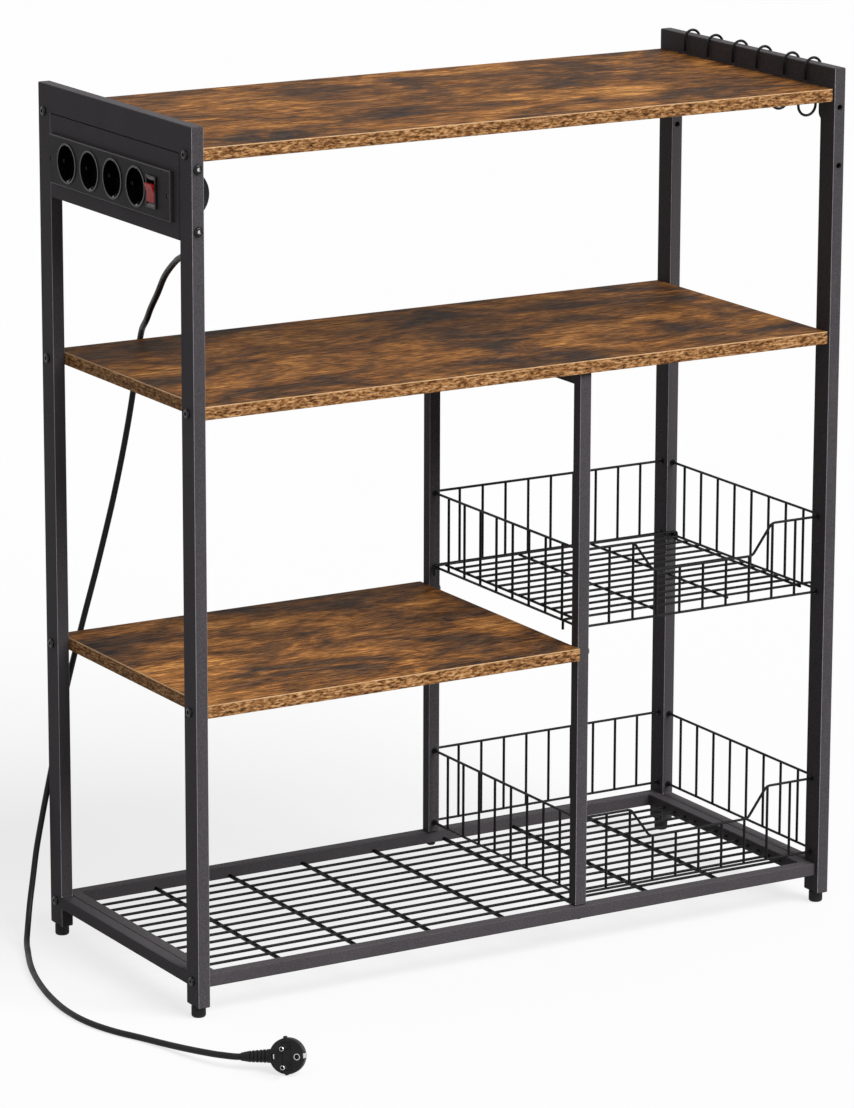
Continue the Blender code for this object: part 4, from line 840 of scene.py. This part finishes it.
# socket panel, a folded sheet between the left posts with a window for the strip
panel = {"sheet": 0.0012, "seam": 0.0006, "height": 0.089, "flange": 0.0125,
         "rounding": 0.0004, "steps": 2, "windowHalf": 0.0211, "windowEnd": 0.0104,
         "bolt": 0.0033, "boltReach": 0.004, "boltSides": 20}
low, high = shelf["postDepth"] + gap, depth - shelf["postDepth"] - gap
top = topRailBase - panel["seam"]
piece = block("socket_panel_folded", (0, low, top - panel["height"]), (panel["sheet"], high, top))
splitAt(piece, 1, low + panel["sheet"], high - panel["sheet"])
splitAt(piece, 2, top - panel["sheet"])
pickFaces(piece, lambda c, n: n.x > facing and not
          (low + panel["sheet"] < c.y < high - panel["sheet"] and c.z < top - panel["sheet"]))
pull(x=panel["flange"] - panel["sheet"])
bpy.ops.object.mode_set(mode='OBJECT')
roundEdges(piece, panel["rounding"], panel["steps"])
wide = panel["windowHalf"]
cutOut(piece, block("window", (-through, strip["switch"] - panel["windowEnd"], strip["z"] - wide),
                    (through, strip["sockets"][0] + wide, strip["z"] + wide)))
for y in (low, high):
    for z in panelBoltHeights:
        cutOut(piece, rod("hole", (postMiddle, y - panel["boltReach"], z),
                          (postMiddle, y + panel["boltReach"], z), panel["bolt"],
                          panel["boltSides"]))
dress(smooth(piece), finishes["powder"], "powder_coat", "shelf", "socket_panel")
print("panel made")

# strip housing behind the panel: D section, made from a block with two long edges rounded
housing = {"back": 0.041, "front": 0.0015, "wall": 0.002, "steps": 14, "rounding": 0.0006,
           "lipSteps": 2, "lipAngle": 50, "hole": 0.0049, "holeDown": 0.004, "holeUp": 0.006,
           "holeSides": 24}
half = strip["height"] / 2
low, high = strip["y"] - strip["length"] / 2, strip["y"] + strip["length"] / 2
bottom, top = strip["z"] - half, strip["z"] + half
piece = block("strip_housing_moulded", (housing["front"], low, bottom),
              (housing["back"], high, top))
bevelWhere(piece, lambda c, d: abs(d.y) > facing and c.x > housing["front"] + gap,
           half - near, housing["steps"])
pickFaces(piece, lambda c, n: n.x < -facing)
bpy.ops.mesh.delete(type='FACE')
bpy.ops.object.mode_set(mode='OBJECT')
finishWith(piece, 'SOLIDIFY', thickness=housing["wall"], offset=-1, use_even_offset=True)
roundEdges(piece, housing["rounding"], housing["lipSteps"], housing["lipAngle"])
leadX, leadY = sleeveWay["top"][:2]
cutOut(piece, rod("hole", (leadX, leadY, bottom - housing["holeDown"]),
                  (leadX, leadY, bottom + housing["holeUp"]), housing["hole"],
                  housing["holeSides"]))
dress(smooth(piece, 35), finishes["housing"], "black_plastic", "shelf", "strip_housing")

# face plate with bored wells, a slot for the switch and sunk screws
piece = block("strip_face_plate_moulded", (-strip["proud"], low, bottom), (-gap, high, top))
bevelWhere(piece, lambda c, d: c.x < -strip["proud"] + gap, strip["rounding"], strip["steps"])
for y in strip["sockets"]:
    cutOut(piece, rod("hole", (-through, y, strip["z"]), (through, y, strip["z"]),
                      strip["wellHole"], strip["wellSides"]))
cutOut(piece, block("slot", (-through, strip["switch"] - strip["slotWide"],
                             strip["z"] - strip["slotHigh"]),
                    (through, strip["switch"] + strip["slotWide"],
                     strip["z"] + strip["slotHigh"])))
screwPlaces = (low + strip["screwInset"], high - strip["screwInset"])
screwFloor = strip["screwSunk"] - strip["proud"]
for y in screwPlaces:
    cutOut(piece, rod("hole", (-through, y, strip["z"]), (screwFloor, y, strip["z"]),
                      strip["screwHole"], strip["screwSides"]))
smooth(piece, 35)
# the rounded outer edges get a paler finish, a painted highlight, and not the flat face or the
# bores
twoFinishes(piece, "plate", "platePaintedHighlight", lambda c, n: -0.93 < n.x < -0.35
            and abs(n.y) + abs(n.z) > 0.3 and c.x < -strip["proud"] + strip["rounding"])
dress(piece, None, "black_plastic", "shelf", "strip_face_plate")
print("strip made")

# one socket: rim, deep round well with two guide ribs, and pin holes
socket = {"radius": 0.0205, "rim": 0.0010, "rimFlatShare": 0.45, "rimProud": 0.0008,
          "wall": 0.0011, "depth": 0.0175, "floor": 0.002, "sides": 64, "rounding": 0.00025,
          "steps": 2, "roundAngle": 50, "rib": 0.0022, "ribOut": 0.0190, "ribRounding": 0.0007,
          "ribSteps": 3, "pins": 0.0095, "pinHole": 0.0027, "pinSides": 24, "pinFrom": 0.012,
          "pinTo": 0.030}


def inEachSocket(first, names):
    # the first socket's piece, and its copies in the other sockets
    return [first] + [copyTo(first, names % number, (0, place - strip["sockets"][0], 0))
                      for number, place in enumerate(strip["sockets"][1:], 2)]


y = strip["sockets"][0]
face = -strip["proud"] - socket["rimProud"] - gap
piece = rod("socket_1_well", (face + socket["rimProud"], y, strip["z"]),
            (face, y, strip["z"]), socket["radius"] + socket["rim"], socket["sides"])
pickFaces(piece, lambda c, n: n.x < -facing)
bpy.ops.mesh.inset(thickness=socket["rim"] * socket["rimFlatShare"], depth=0)
bpy.ops.mesh.inset(thickness=socket["rim"] * (1 - socket["rimFlatShare"]) + socket["wall"],
                   depth=0)
pull(x=socket["depth"])
bpy.ops.object.mode_set(mode='OBJECT')
pickFaces(piece, lambda c, n: n.x > facing and c.x < face + socket["rimProud"] + gap)
bpy.ops.mesh.inset(thickness=socket["rim"], depth=0)
pull(x=socket["depth"] + socket["floor"] - socket["rimProud"])
bpy.ops.object.mode_set(mode='OBJECT')
roundEdges(piece, socket["rounding"], socket["steps"], socket["roundAngle"])
ribs = []
for side in (-1, 1):
    ribY, pinY = y + side * socket["ribOut"], y + side * socket["pins"]
    rib = block("rib", (face + socket["depth"] / 3, ribY - socket["rib"],
                        strip["z"] - socket["rib"]),
                (face + socket["depth"] + gap, ribY + socket["rib"], strip["z"] + socket["rib"]))
    roundEdges(rib, socket["ribRounding"], socket["ribSteps"])
    ribs.append(rib)
    cutOut(piece, rod("hole", (face + socket["pinFrom"], pinY, strip["z"]),
                      (face + socket["pinTo"], pinY, strip["z"]), socket["pinHole"],
                      socket["pinSides"]))
piece = smooth(gather("socket_1_well", [piece, *ribs]), 35)
rimIn = socket["radius"] + socket["rim"] / 2
# the rim's outer flat gets the paler rim finish, a painted highlight on the black socket
twoFinishes(piece, "well", "rim", lambda c, n: c.x < face + gap
            and math.hypot(c.y - y, c.z - strip["z"]) > rimIn)
for number, piece in enumerate(inEachSocket(piece, "socket_%d_well"), 1):
    dress(piece, None, "socket_plastic", "shelf", "socket_%d" % number)

# sprung earth clips: a strip along the wall that bows into the well
clip = {"width": 0.0038, "thickness": 0.0006, "start": 0.0015, "reach": 0.0150, "bow": 0.0030,
        "bendShares": (0.2, 0.4, 0.6, 0.8)}
clipStart, clipLength = face + clip["start"], clip["reach"] - clip["start"]
made = []
for side in (-1, 1):
    wallZ = strip["z"] + side * (socket["radius"] - socket["wall"])
    piece = block("clip", (clipStart, y - clip["width"] / 2, wallZ - side * near),
                  (face + clip["reach"], y + clip["width"] / 2,
                   wallZ - side * (near + clip["thickness"])))
    splitAt(piece, 0, *[clipStart + clipLength * share for share in clip["bendShares"]])
    for point in piece.data.vertices:
        along = (point.co.x - corner.x - clipStart) / clipLength
        point.co.z -= side * clip["bow"] * math.sin(math.pi * along)
    tidyShell(piece)
    made.append(piece)
for piece in inEachSocket(smooth(gather("earth_clips_1", made), 50), "earth_clips_%d"):
    dress(piece, finishes["nickel"], "nickel", "shelf")
print("sockets made")

# switch: bezel with a pocket, grey slopes above and below, and the red rocker
switch = {"bezelHeight": 0.0335, "bezelWidth": 0.021, "bezelProud": 0.0022, "rounding": 0.0005,
          "steps": 3, "bodyWidth": 0.0196, "depth": 0.020, "set": 0.0036, "tilt": 10.0,
          "play": 0.0005, "pocketDeep": 0.0055, "slopeOut": 0.0016, "slopeIn": 0.002,
          "slopeMargin": 0.001}
rocker = {"height": 0.0200, "width": 0.0160, "rise": 0.0040, "sink": 0.0030, "rounding": 0.0004,
          "steps": 2, "roundAngle": 40, "backShare": 0.7, "trunnion": 0.0013,
          "trunnionReach": 0.0012, "trunnionSides": 20}
y, z = strip["switch"], strip["z"]
face = -strip["proud"] - switch["bezelProud"]
lip = -strip["proud"] - gap
high, wide = switch["bezelHeight"] / 2, switch["bezelWidth"] / 2
piece = block("switch_body_moulded", (face, y - wide, z - high), (lip, y + wide, z + high))
pickFaces(piece, lambda c, n: n.x > facing)
bpy.ops.mesh.inset(thickness=(switch["bezelWidth"] - switch["bodyWidth"]) / 2 + near, depth=0)
pull(x=switch["depth"] - strip["proud"] - lip)
bpy.ops.object.mode_set(mode='OBJECT')
roundEdges(piece, switch["rounding"], switch["steps"])
pivot = face + switch["set"]
tilt = math.radians(switch["tilt"])
cornerOut = rocker["rise"] + rocker["height"] / 2 * math.sin(tilt)
pocketHigh = math.hypot(rocker["height"] / 2, cornerOut) + switch["play"]
pocketWide = rocker["width"] / 2 + switch["play"]
cutOut(piece, block("pocket", (face - through, y - pocketWide, z - pocketHigh),
                    (pivot + switch["pocketDeep"], y + pocketWide, z + pocketHigh)))
for side in (-1, 1):
    wedge = block("wedge", (face - through, y - pocketWide,
                            z + side * (high - switch["slopeOut"])),
                  (face, y + pocketWide, z + side * (pocketHigh - switch["slopeIn"])))
    pickEdges(wedge, lambda c, d: abs(d.y) > facing and c.x > face - gap
              and side * (c.z - z) < pocketHigh)
    bpy.ops.transform.translate(value=(switch["bezelProud"], 0, 0))
    bpy.ops.object.mode_set(mode='OBJECT')
    tidyShell(wedge)
    cutOut(piece, wedge)
smooth(piece, 30)
twoFinishes(piece, "housing", "slope", lambda c, n: 0.2 < abs(n.z) < 0.95 and n.x < -0.3
            and abs(c.y - y) < pocketWide - switch["slopeMargin"])
dress(piece, None, "black_plastic", "shelf", "switch_body")

# the rocker is made level at the corner, then tilted about its trunnion and put in place
piece = block("switch_rocker_lens", (-rocker["rise"], -rocker["width"] / 2, -rocker["height"] / 2),
              (rocker["sink"], rocker["width"] / 2, rocker["height"] / 2))
splitAt(piece, 2, 0)
pickEdges(piece, lambda c, d: abs(d.y) > facing and c.x < -rocker["rise"] + gap
          and abs(c.z) > rocker["height"] / 4)
bpy.ops.transform.translate(value=(rocker["rise"] - cornerOut, 0, 0))
pickEdges(piece, lambda c, d: abs(d.y) > facing and c.x > rocker["sink"] - gap
          and abs(c.z) > rocker["height"] / 4)
bpy.ops.transform.resize(value=(1, 1, rocker["backShare"]), center_override=spot(0, 0, 0))
bpy.ops.object.mode_set(mode='OBJECT')
roundEdges(piece, rocker["rounding"], rocker["steps"], rocker["roundAngle"])
reach = rocker["width"] / 2 + rocker["trunnionReach"]
axle = rod("trunnion", (0, -reach, 0), (0, reach, 0), rocker["trunnion"],
           rocker["trunnionSides"])
piece = gather("switch_rocker_lens", [piece, axle])
turn = Matrix.Rotation(-tilt, 4, 'Y')
piece.data.transform(Matrix.Translation(spot(pivot, y, z)) @ turn @ Matrix.Translation(-corner))
dress(smooth(piece, 30), redLens, "red_lens", "rocker", "switch_rocker")
print("switch made")

# tapered sleeve that the lead leaves the strip by, with its radius at shares of its length
sleeve = {"radiusAtShares": ((0, 0.0062), (0.12, 0.0062), (0.35, 0.0057), (0.64, 0.0051),
                             (0.82, 0.0047), (1, 0.0043)),
          "spigot": 0.0046, "spigotUp": 0.005, "resolution": 6, "ribs": 4, "ribStart": 0.0040,
          "ribPitch": 0.0026, "ribWidth": 0.0013, "ribRadius": 0.0064,
          "ribTaperShare": 0.07, "ribSides": 32, "ribRounding": 0.0004, "ribSteps": 2}
start = sleeveLine(0)[0]
up = Vector((0, 0, 1))
points = [start + up * sleeve["spigotUp"], start + up * near]
radii = [sleeve["spigot"]] * 2
for share, radius in sleeve["radiusAtShares"]:
    points.append(sleeveLine(sleeveWay["length"] * share)[0])
    radii.append(radius)
made = [smooth(wire("lead_sleeve", points, sleeve["spigot"], radii=radii,
                    resolution=sleeve["resolution"]), weighted=False)]
for number in range(sleeve["ribs"]):
    down = sleeve["ribStart"] + number * sleeve["ribPitch"]
    top = start - up * down - corner
    collar = rod("collar", top, top - up * sleeve["ribWidth"],
                 sleeve["ribRadius"] - sleeve["ribTaperShare"] * down, sleeve["ribSides"])
    roundEdges(collar, sleeve["ribRounding"], sleeve["ribSteps"])
    made.append(smooth(collar, weighted=False))
dress(gather("lead_sleeve", made), finishes["rubber"], "rubber", "shelf", "lead_gland")
print("sleeve made")

# button-head bolts, modelled once at the origin with the head up Z
bolt = {"head": 0.0050, "height": 0.0028, "sides": 40, "dome": 0.0019, "domeSteps": 5,
        "hexagon": 0.0023, "hexDepth": 0.0016, "shank": 0.0030, "shankLength": 0.006}
piece = rod("bolt", (0, 0, gap), (0, 0, bolt["height"]), bolt["head"], bolt["sides"])
bevelWhere(piece, lambda c, d: c.z > bolt["height"] - near, bolt["dome"], bolt["domeSteps"])
pickFaces(piece, lambda c, n: n.z < -facing)
bpy.ops.mesh.inset(thickness=bolt["head"] - bolt["shank"], depth=0)
pull(z=-bolt["shankLength"])
bpy.ops.object.mode_set(mode='OBJECT')
cutOut(piece, rod("hexagon", (0, 0, bolt["height"] - bolt["hexDepth"]),
                  (0, 0, bolt["height"] + bolt["hexDepth"]), bolt["hexagon"], 6))
boltModel = smooth(piece, 35)
# the hex socket's floor gets the bright nickel finish, a painted glint on the black bolt
twoFinishes(boltModel, "bolt", "nickel",
            lambda c, n: n.z > facing and c.z < bolt["height"] - bolt["hexDepth"] + gap)
boltModel.data.transform(Matrix.Translation(-corner))
toLeft = Matrix.Rotation(-math.pi / 2, 3, 'Y')
toRight = Matrix.Rotation(math.pi / 2, 3, 'Y')
toFront = Matrix.Rotation(math.pi / 2, 3, 'X')
toBack = Matrix.Rotation(-math.pi / 2, 3, 'X')
toFloor = Matrix.Rotation(math.pi, 3, 'X')
boltRows = []
for title, z, both in (("top_board", boltHeights[0], True), ("middle_board", boltHeights[1], True),
                       ("lower_board", boltHeights[2], False), ("rack", rackBoltHeight, True)):
    for end, y in (("front", postCentre), ("rear", depth - postCentre)):
        boltRows.append((title + "_bolt_left_" + end, spot(0, y, z), toLeft))
        if both:
            boltRows.append((title + "_bolt_right_" + end, spot(shelf["width"], y, z), toRight))
for end, z in zip(("upper", "lower"), panelBoltHeights):
    boltRows.append(("panel_bolt_front_" + end, spot(postMiddle, 0, z), toFront))
    boltRows.append(("panel_bolt_rear_" + end, spot(postMiddle, depth, z), toBack))
for name, place, turn in boltRows:
    piece = copyTo(boltModel, name + "_head", place, turn)
    dress(piece, None, "bolt_steel", "shelf", name)
# bolts that hold the middle posts: through them into the lower board, and up from the rack
for end, y in (("front", middleY), ("rear", depth - middleY)):
    piece = copyTo(boltModel, "middle_post_bolt_" + end,
                   spot(middleX + tube / 2, y, boltHeights[2]), toRight)
    dress(piece, None, "bolt_steel", "shelf")
    piece = copyTo(boltModel, "rack_under_bolt_" + end, spot(middleX, y, shelf["railBase"]),
                   toFloor)
    dress(piece, None, "bolt_steel", "shelf")
print("bolts made")

# cross-head screws at the strip's ends
screw = {"radius": 0.0025, "sides": 32, "height": 0.0012, "edge": 0.0007, "edgeSteps": 3,
         "slotWide": 0.00025, "slotLong": 0.0015, "slotFloor": 0.0005, "slotOut": 0.004}
for end, y in zip(("front", "rear"), screwPlaces):
    screwTop = screwFloor - screw["height"]
    piece = rod("strip_screw_" + end, (screwFloor, y, strip["z"]), (screwTop, y, strip["z"]),
                screw["radius"], screw["sides"])
    bevelWhere(piece, lambda c, d: c.x < screwTop + near, screw["edge"], screw["edgeSteps"])
    for wideY, wideZ in ((screw["slotWide"], screw["slotLong"]),
                         (screw["slotLong"], screw["slotWide"])):
        cutOut(piece, block("slot", (screwFloor - screw["slotOut"], y - wideY, strip["z"] - wideZ),
                            (screwFloor - screw["slotFloor"], y + wideY, strip["z"] + wideZ)))
    dress(smooth(piece, 35), finishes["bolt"], "bolt_steel", "shelf")
print("screws made")

# levelling feet: a ribbed disc under each post, with its stem up inside
foot = {"radius": 0.0077, "sides": 40, "sole": 0.0054, "soleSteps": 3, "edge": 0.0006,
        "edgeSteps": 2, "groove": 0.0004, "grooveDeep": 0.0002, "stem": 0.0035,
        "stemUp": 0.0200}
top = shelf["postBase"] - gap
piece = rod("foot", (0, 0, 0), (0, 0, top), foot["radius"], foot["sides"])
bevelWhere(piece, lambda c, d: c.z < near, foot["radius"] - foot["sole"], foot["soleSteps"])
bevelWhere(piece, lambda c, d: c.z > top - near, foot["edge"], foot["edgeSteps"])
pickFaces(piece, lambda c, n: abs(n.z) < 0.1 and abs(c.z - top / 2) < top / 3)
bpy.ops.mesh.inset(thickness=foot["groove"], depth=-foot["grooveDeep"], use_individual=True)
pickFaces(piece, lambda c, n: n.z > 0.95)
bpy.ops.mesh.inset(thickness=foot["radius"] - foot["edge"] - foot["stem"], depth=0)
pull(z=foot["stemUp"])
bpy.ops.object.mode_set(mode='OBJECT')
footModel = smooth(piece, 35)
footModel.data.transform(Matrix.Translation(-corner))
for side, x in (("left", postMiddle), ("right", sideX)):
    for end, y in (("front", postCentre), ("rear", depth - postCentre)):
        name = "foot_" + side + "_" + end
        piece = copyTo(footModel, name + "_moulded", spot(x, y, 0))
        dress(piece, finishes["rubber"], "rubber", name, name)
print("feet made")

# S hooks over the right top rail: a bow over the rail, a leg down and a loop back up
hook = {"wire": 0.003, "radius": 0.010, "tail": 0.0135, "leg": 0.0495, "loop": 0.0115,
        "tip": 0.006, "shares": (0.1504, 0.2704, 0.4252, 0.5623, 0.7061, 0.8412),
        "centre": 0.93967, "steps": 14, "resolution": 3, "rounding": 0.0006,
        "roundSteps": 3, "roundAngle": 60}
path = [(-hook["radius"], 0, -hook["tail"])]
for number in range(hook["steps"] + 1):
    angle = math.pi * (1 - number / hook["steps"])
    path.append((hook["radius"] * math.cos(angle), 0, hook["radius"] * math.sin(angle)))
loopX = hook["radius"] + hook["loop"]
for number in range(hook["steps"] + 1):
    angle = math.pi * (1 + number / hook["steps"])
    path.append((loopX + hook["loop"] * math.cos(angle), 0,
                 -hook["leg"] + hook["loop"] * math.sin(angle)))
path.append((loopX + hook["loop"], 0, -hook["leg"] + hook["tip"]))
piece = wire("hook", path, hook["wire"] / 2, resolution=hook["resolution"])
roundEdges(piece, hook["rounding"], hook["roundSteps"], hook["roundAngle"])
hookModel = smooth(piece, 50, False)
for number, share in enumerate(hook["shares"], 1):
    piece = copyTo(hookModel, "hook_%d_bent" % number,
                   spot(sideX, depth * share, hook["centre"]))
    dress(piece, finishes["wire"], "black_wire", "hook_%d" % number, "hook_%d" % number)
print("hooks made")

# plug, on its own axes: a round face with two lugs, a ribbed tail, a recess for the pins'
# bridge, an earth hole and a slot at each side
plug = {"radius": 0.0185, "sides": 64, "back": 0.0140, "thickness": 0.017, "shoulder": 0.010,
        "edge": 0.0008, "edgeSteps": 3, "edgeAngle": 25,
        "tail": 0.0062, "tailStart": 0.009, "neck": 0.0078, "waist": 0.0060, "end": 0.0042,
        "ribs": 5, "ribStart": 0.0200, "ribPitch": 0.0040, "groove": 0.0012,
        "ribShares": ((0, 0), (0.55, 0), (0.62, 1), (0.93, 1)),
        "lugs": ((-1, 0.0204), (1, 0.0194)), "lugIn": 0.0165, "lugStart": -0.0005,
        "lugEnd": 0.0028, "lugFront": -0.0004, "lugBack": -0.0055, "lugRounding": 0.0004,
        "slots": ((-0.03, -0.0168), (0.0128, 0.0160)), "slotWide": 0.0032, "slotBack": -0.0085}
bridge = {"wide": 0.0045, "long": 0.0140, "deep": 0.0040, "rounding": 0.0004, "steps": 2}
earth = {"x": -0.0105, "y": 0.001, "bore": 0.0034, "boreBack": -0.012, "ring": 0.0033,
         "ringBack": -0.011, "ringFront": -0.0006, "hole": 0.0026, "holeBack": -0.0095,
         "core": 0.0025, "coreBack": -0.0097, "coreFront": -0.0040, "sides": 32}


def onPlug(piece, name):
    # from the corner, where it was made, to the plug's own place and turn
    piece.data.transform(Matrix.Translation(plugSpot) @ plugTurn.to_4x4()
                         @ Matrix.Translation(-corner))
    piece.name = piece.data.name = name
    return piece


def earthRod(name, back, front, radius):
    # a rod on the earth hole's own line
    return rod(name, (earth["x"], earth["y"], back), (earth["x"], earth["y"], front), radius,
               earth["sides"])


def addTo(piece, extra):
    finishWith(piece, 'BOOLEAN', operation='UNION', solver='EXACT', object=extra)
    bpy.data.objects.remove(extra)


piece = rod("plug", (0, 0, -plug["shoulder"]), (0, 0, 0), plug["radius"], plug["sides"])
pickFaces(piece, lambda c, n: n.z < -facing)
pull(z=plug["shoulder"] - plug["thickness"])
bpy.ops.transform.resize(value=(plug["back"] / plug["radius"],) * 2 + (1,),
                         center_override=spot(0, 0, -plug["thickness"]))
bpy.ops.object.mode_set(mode='OBJECT')
roundEdges(piece, plug["edge"], plug["edgeSteps"], plug["edgeAngle"])
ribsEnd = plug["ribStart"] + plug["ribPitch"] * plug["ribs"]
taper = (plug["neck"] - plug["waist"]) / (ribsEnd - plug["tailStart"])
path, radii = [(plug["tailStart"], 0, -plugWay["tailSet"])], [plug["neck"]]
for number in range(plug["ribs"]):
    for share, deep in plug["ribShares"]:
        distance = plug["ribStart"] + plug["ribPitch"] * (number + share)
        path.append((distance, 0, -plugWay["tailSet"]))
        radii.append(plug["neck"] - taper * (distance - plug["tailStart"])
                     - plug["groove"] * deep)
path += [(ribsEnd, 0, -plugWay["tailSet"]), (plugWay["tailEnd"], 0, -plugWay["tailSet"])]
radii += [plug["waist"], plug["end"]]
addTo(piece, wire("tail", [spot(*point) for point in path], plug["tail"], radii=radii,
                  resolution=6))
for side, reach in plug["lugs"]:
    lug = block("lug", (plug["lugStart"], side * plug["lugIn"], plug["lugBack"]),
                (plug["lugEnd"], side * reach, plug["lugFront"]))
    roundEdges(lug, plug["lugRounding"], 2)
    addTo(piece, lug)
recessWide, recessLong = bridge["wide"] + gap, bridge["long"] + gap
cutOut(piece, block("pocket", (-recessWide, -recessLong, -bridge["deep"] - gap),
                    (recessWide, recessLong, through)),
       earthRod("hole", earth["boreBack"], through, earth["bore"]))
for inner, outer in plug["slots"]:
    cutOut(piece, block("slot", (inner, -plug["slotWide"], plug["slotBack"]),
                        (outer, plug["slotWide"], through)))
plugBody = dress(onPlug(smooth(piece, 35), "plug_body_moulded"), finishes["rubber"],
                 "rubber", "shelf", "plug_body")

# hollow-ended pins in black sleeves that stand on the bridge, with a dark core in each hollow as
# painted shade
pin = {"radius": 0.0024, "length": 0.019, "spacing": 0.019, "root": -0.002, "sides": 32,
       "edge": 0.0009, "edgeSteps": 4, "wall": 0.0003, "hollow": 0.0020, "core": 0.00115,
       "coreBack": 0.0021, "coreFront": 0.0006, "coreSides": 24, "sleeve": 0.0125,
       "sleeveRoot": -0.001, "sleeveWall": 0.0001, "sleeveRounding": 0.0002}
piece = block("bridge", (-bridge["wide"], -bridge["long"], -bridge["deep"]),
              (bridge["wide"], bridge["long"], 0))
roundEdges(piece, bridge["rounding"], bridge["steps"])
pins, blacks = [], [piece]
for side in (-1, 1):
    y = side * pin["spacing"] / 2
    piece = rod("pin", (0, y, pin["root"]), (0, y, pin["length"]), pin["radius"], pin["sides"])
    bevelWhere(piece, lambda c, d: c.z > pin["length"] - near, pin["edge"], pin["edgeSteps"])
    pickFaces(piece, lambda c, n: n.z > facing)
    bpy.ops.mesh.inset(thickness=pin["wall"], depth=-pin["hollow"])
    bpy.ops.object.mode_set(mode='OBJECT')
    pins.append(smooth(piece, 35))
    piece = rod("sleeve", (0, y, pin["sleeveRoot"]), (0, y, pin["sleeve"]),
                pin["radius"] + pin["sleeveWall"], pin["sides"])
    roundEdges(piece, pin["sleeveRounding"], 2)
    blacks.append(piece)
    blacks.append(rod("core", (0, y, pin["length"] - pin["coreBack"]),
                      (0, y, pin["length"] - pin["coreFront"]), pin["core"], pin["coreSides"]))
# a dark core in the earth hole as well, painted shade
blacks.append(earthRod("core", earth["coreBack"], earth["coreFront"], earth["core"]))
plugPins = onPlug(gather("pins", pins), "plug_pins_turned")
dress(plugPins, finishes["nickel"], "nickel", "shelf", "plug_pins")
plugBridge = onPlug(smooth(gather("bridge", blacks)), "plug_pin_bridge")
dress(plugBridge, finishes["rubber"], "rubber", "shelf")

# earth contacts: a ring in the face, and a strap at each side that bows out a little
strap = {"sides": ((-0.0184, -0.0170, -0.0002), (0.0132, 0.0144, 0.0004)),
         "wide": 0.0026, "back": -0.0084, "front": -0.0005, "bowBack": -0.0060,
         "bowFront": -0.0035, "rounding": 0.0003}
piece = earthRod("ring", earth["ringBack"], earth["ringFront"], earth["ring"])
cutOut(piece, earthRod("hole", earth["holeBack"], through, earth["hole"]))
made = [piece]
for inner, outer, bow in strap["sides"]:
    piece = block("strap", (inner, -strap["wide"], strap["back"]),
                  (outer, strap["wide"], strap["front"]))
    splitAt(piece, 2, strap["bowBack"], strap["bowFront"])
    pickFaces(piece, lambda c, n: abs(n.x) > facing
              and strap["bowBack"] < c.z < strap["bowFront"])
    bpy.ops.transform.translate(value=(bow, 0, 0))
    bpy.ops.object.mode_set(mode='OBJECT')
    roundEdges(piece, strap["rounding"], 2)
    made.append(piece)
plugClips = onPlug(smooth(gather("clips", made), 35), "plug_earth_contacts")
dress(plugClips, finishes["nickel"], "nickel", "shelf")
print("plug made")

# the lead gets its finish and rides on the shelf, and the frame's lead is hidden
lead.data.materials.append(finishes["rubber"])
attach(lead, "shelf")
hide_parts("mains_lead")

# brass bars inside the strip stay as the frame has them
for name in ("live_busbar", "neutral_busbar", "earth_busbar"):
    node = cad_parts[name]
    node.data.materials.clear()
    node.data.materials.append(finishes["brass"])

for model in (boltModel, footModel, hookModel):
    bpy.data.objects.remove(model)

# pale floor and soft light: both look white to the camera and light the shelf less
studio = {"floor": 60.0, "pale": 0.93, "dim": 0.22, "floorShade": 0.75, "around": 0.27,
          "sun": 3.5, "sunAngle": 45.0, "sunFrom": (0.28, -0.68, 0.68)}


def seenDirectly(owner):
    # 1 for the camera, for reflections and for light through glass
    path = addNode(owner, "LightPath")
    total = path.outputs["Is Camera Ray"]
    for name in ("Is Glossy Ray", "Is Transmission Ray"):
        larger = addNode(owner, "Math", operation='MAXIMUM')
        link(owner, total, larger.inputs[0])
        link(owner, path.outputs[name], larger.inputs[1])
        total = larger.outputs[0]
    return total


def evenShade(owner, kind, shade=1):
    node = addNode(owner, kind)
    node.inputs["Color"].default_value = (shade, shade, shade, 1)
    return node.outputs[0]


def shadesMixed(owner, first, second):
    node = addNode(owner, "MixShader")
    link(owner, first, node.inputs[1])
    link(owner, second, node.inputs[2])
    return node


clearPick()
bpy.ops.mesh.primitive_plane_add(size=studio["floor"], location=(0, 0, 0))
floor = bpy.context.object
floor.name = "floor"
floorFinish = bpy.data.materials.new("floor")
floorFinish.use_nodes = True
floorFinish.node_tree.nodes.clear()
shaded = shadesMixed(floorFinish, evenShade(floorFinish, "BsdfDiffuse", studio["pale"]),
                     evenShade(floorFinish, "Emission"))
shaded.inputs[0].default_value = studio["floorShade"]
both = shadesMixed(floorFinish, evenShade(floorFinish, "BsdfDiffuse", studio["dim"]),
                   shaded.outputs[0])
link(floorFinish, seenDirectly(floorFinish), both.inputs[0])
link(floorFinish, both.outputs[0], addNode(floorFinish, "OutputMaterial").inputs[0])
floor.data.materials.append(floorFinish)

world = bpy.data.worlds.new("studio")
world.use_nodes = True
bpy.context.scene.world = world
background = world.node_tree.nodes["Background"]
background.inputs["Color"].default_value = (1, 1, 1, 1)
around = spread(world, seenDirectly(world), studio["around"], 1, 0, 1)
link(world, around, background.inputs["Strength"])

clearPick()
bpy.ops.object.light_add(type='SUN', location=(1, -2, 3))
sun = bpy.context.object
sun.name = "soft_key"
sun.data.energy = studio["sun"]
sun.data.angle = math.radians(studio["sunAngle"])
sun.rotation_euler = Vector(studio["sunFrom"]).to_track_quat('Z', 'Y').to_euler()
print("studio set")
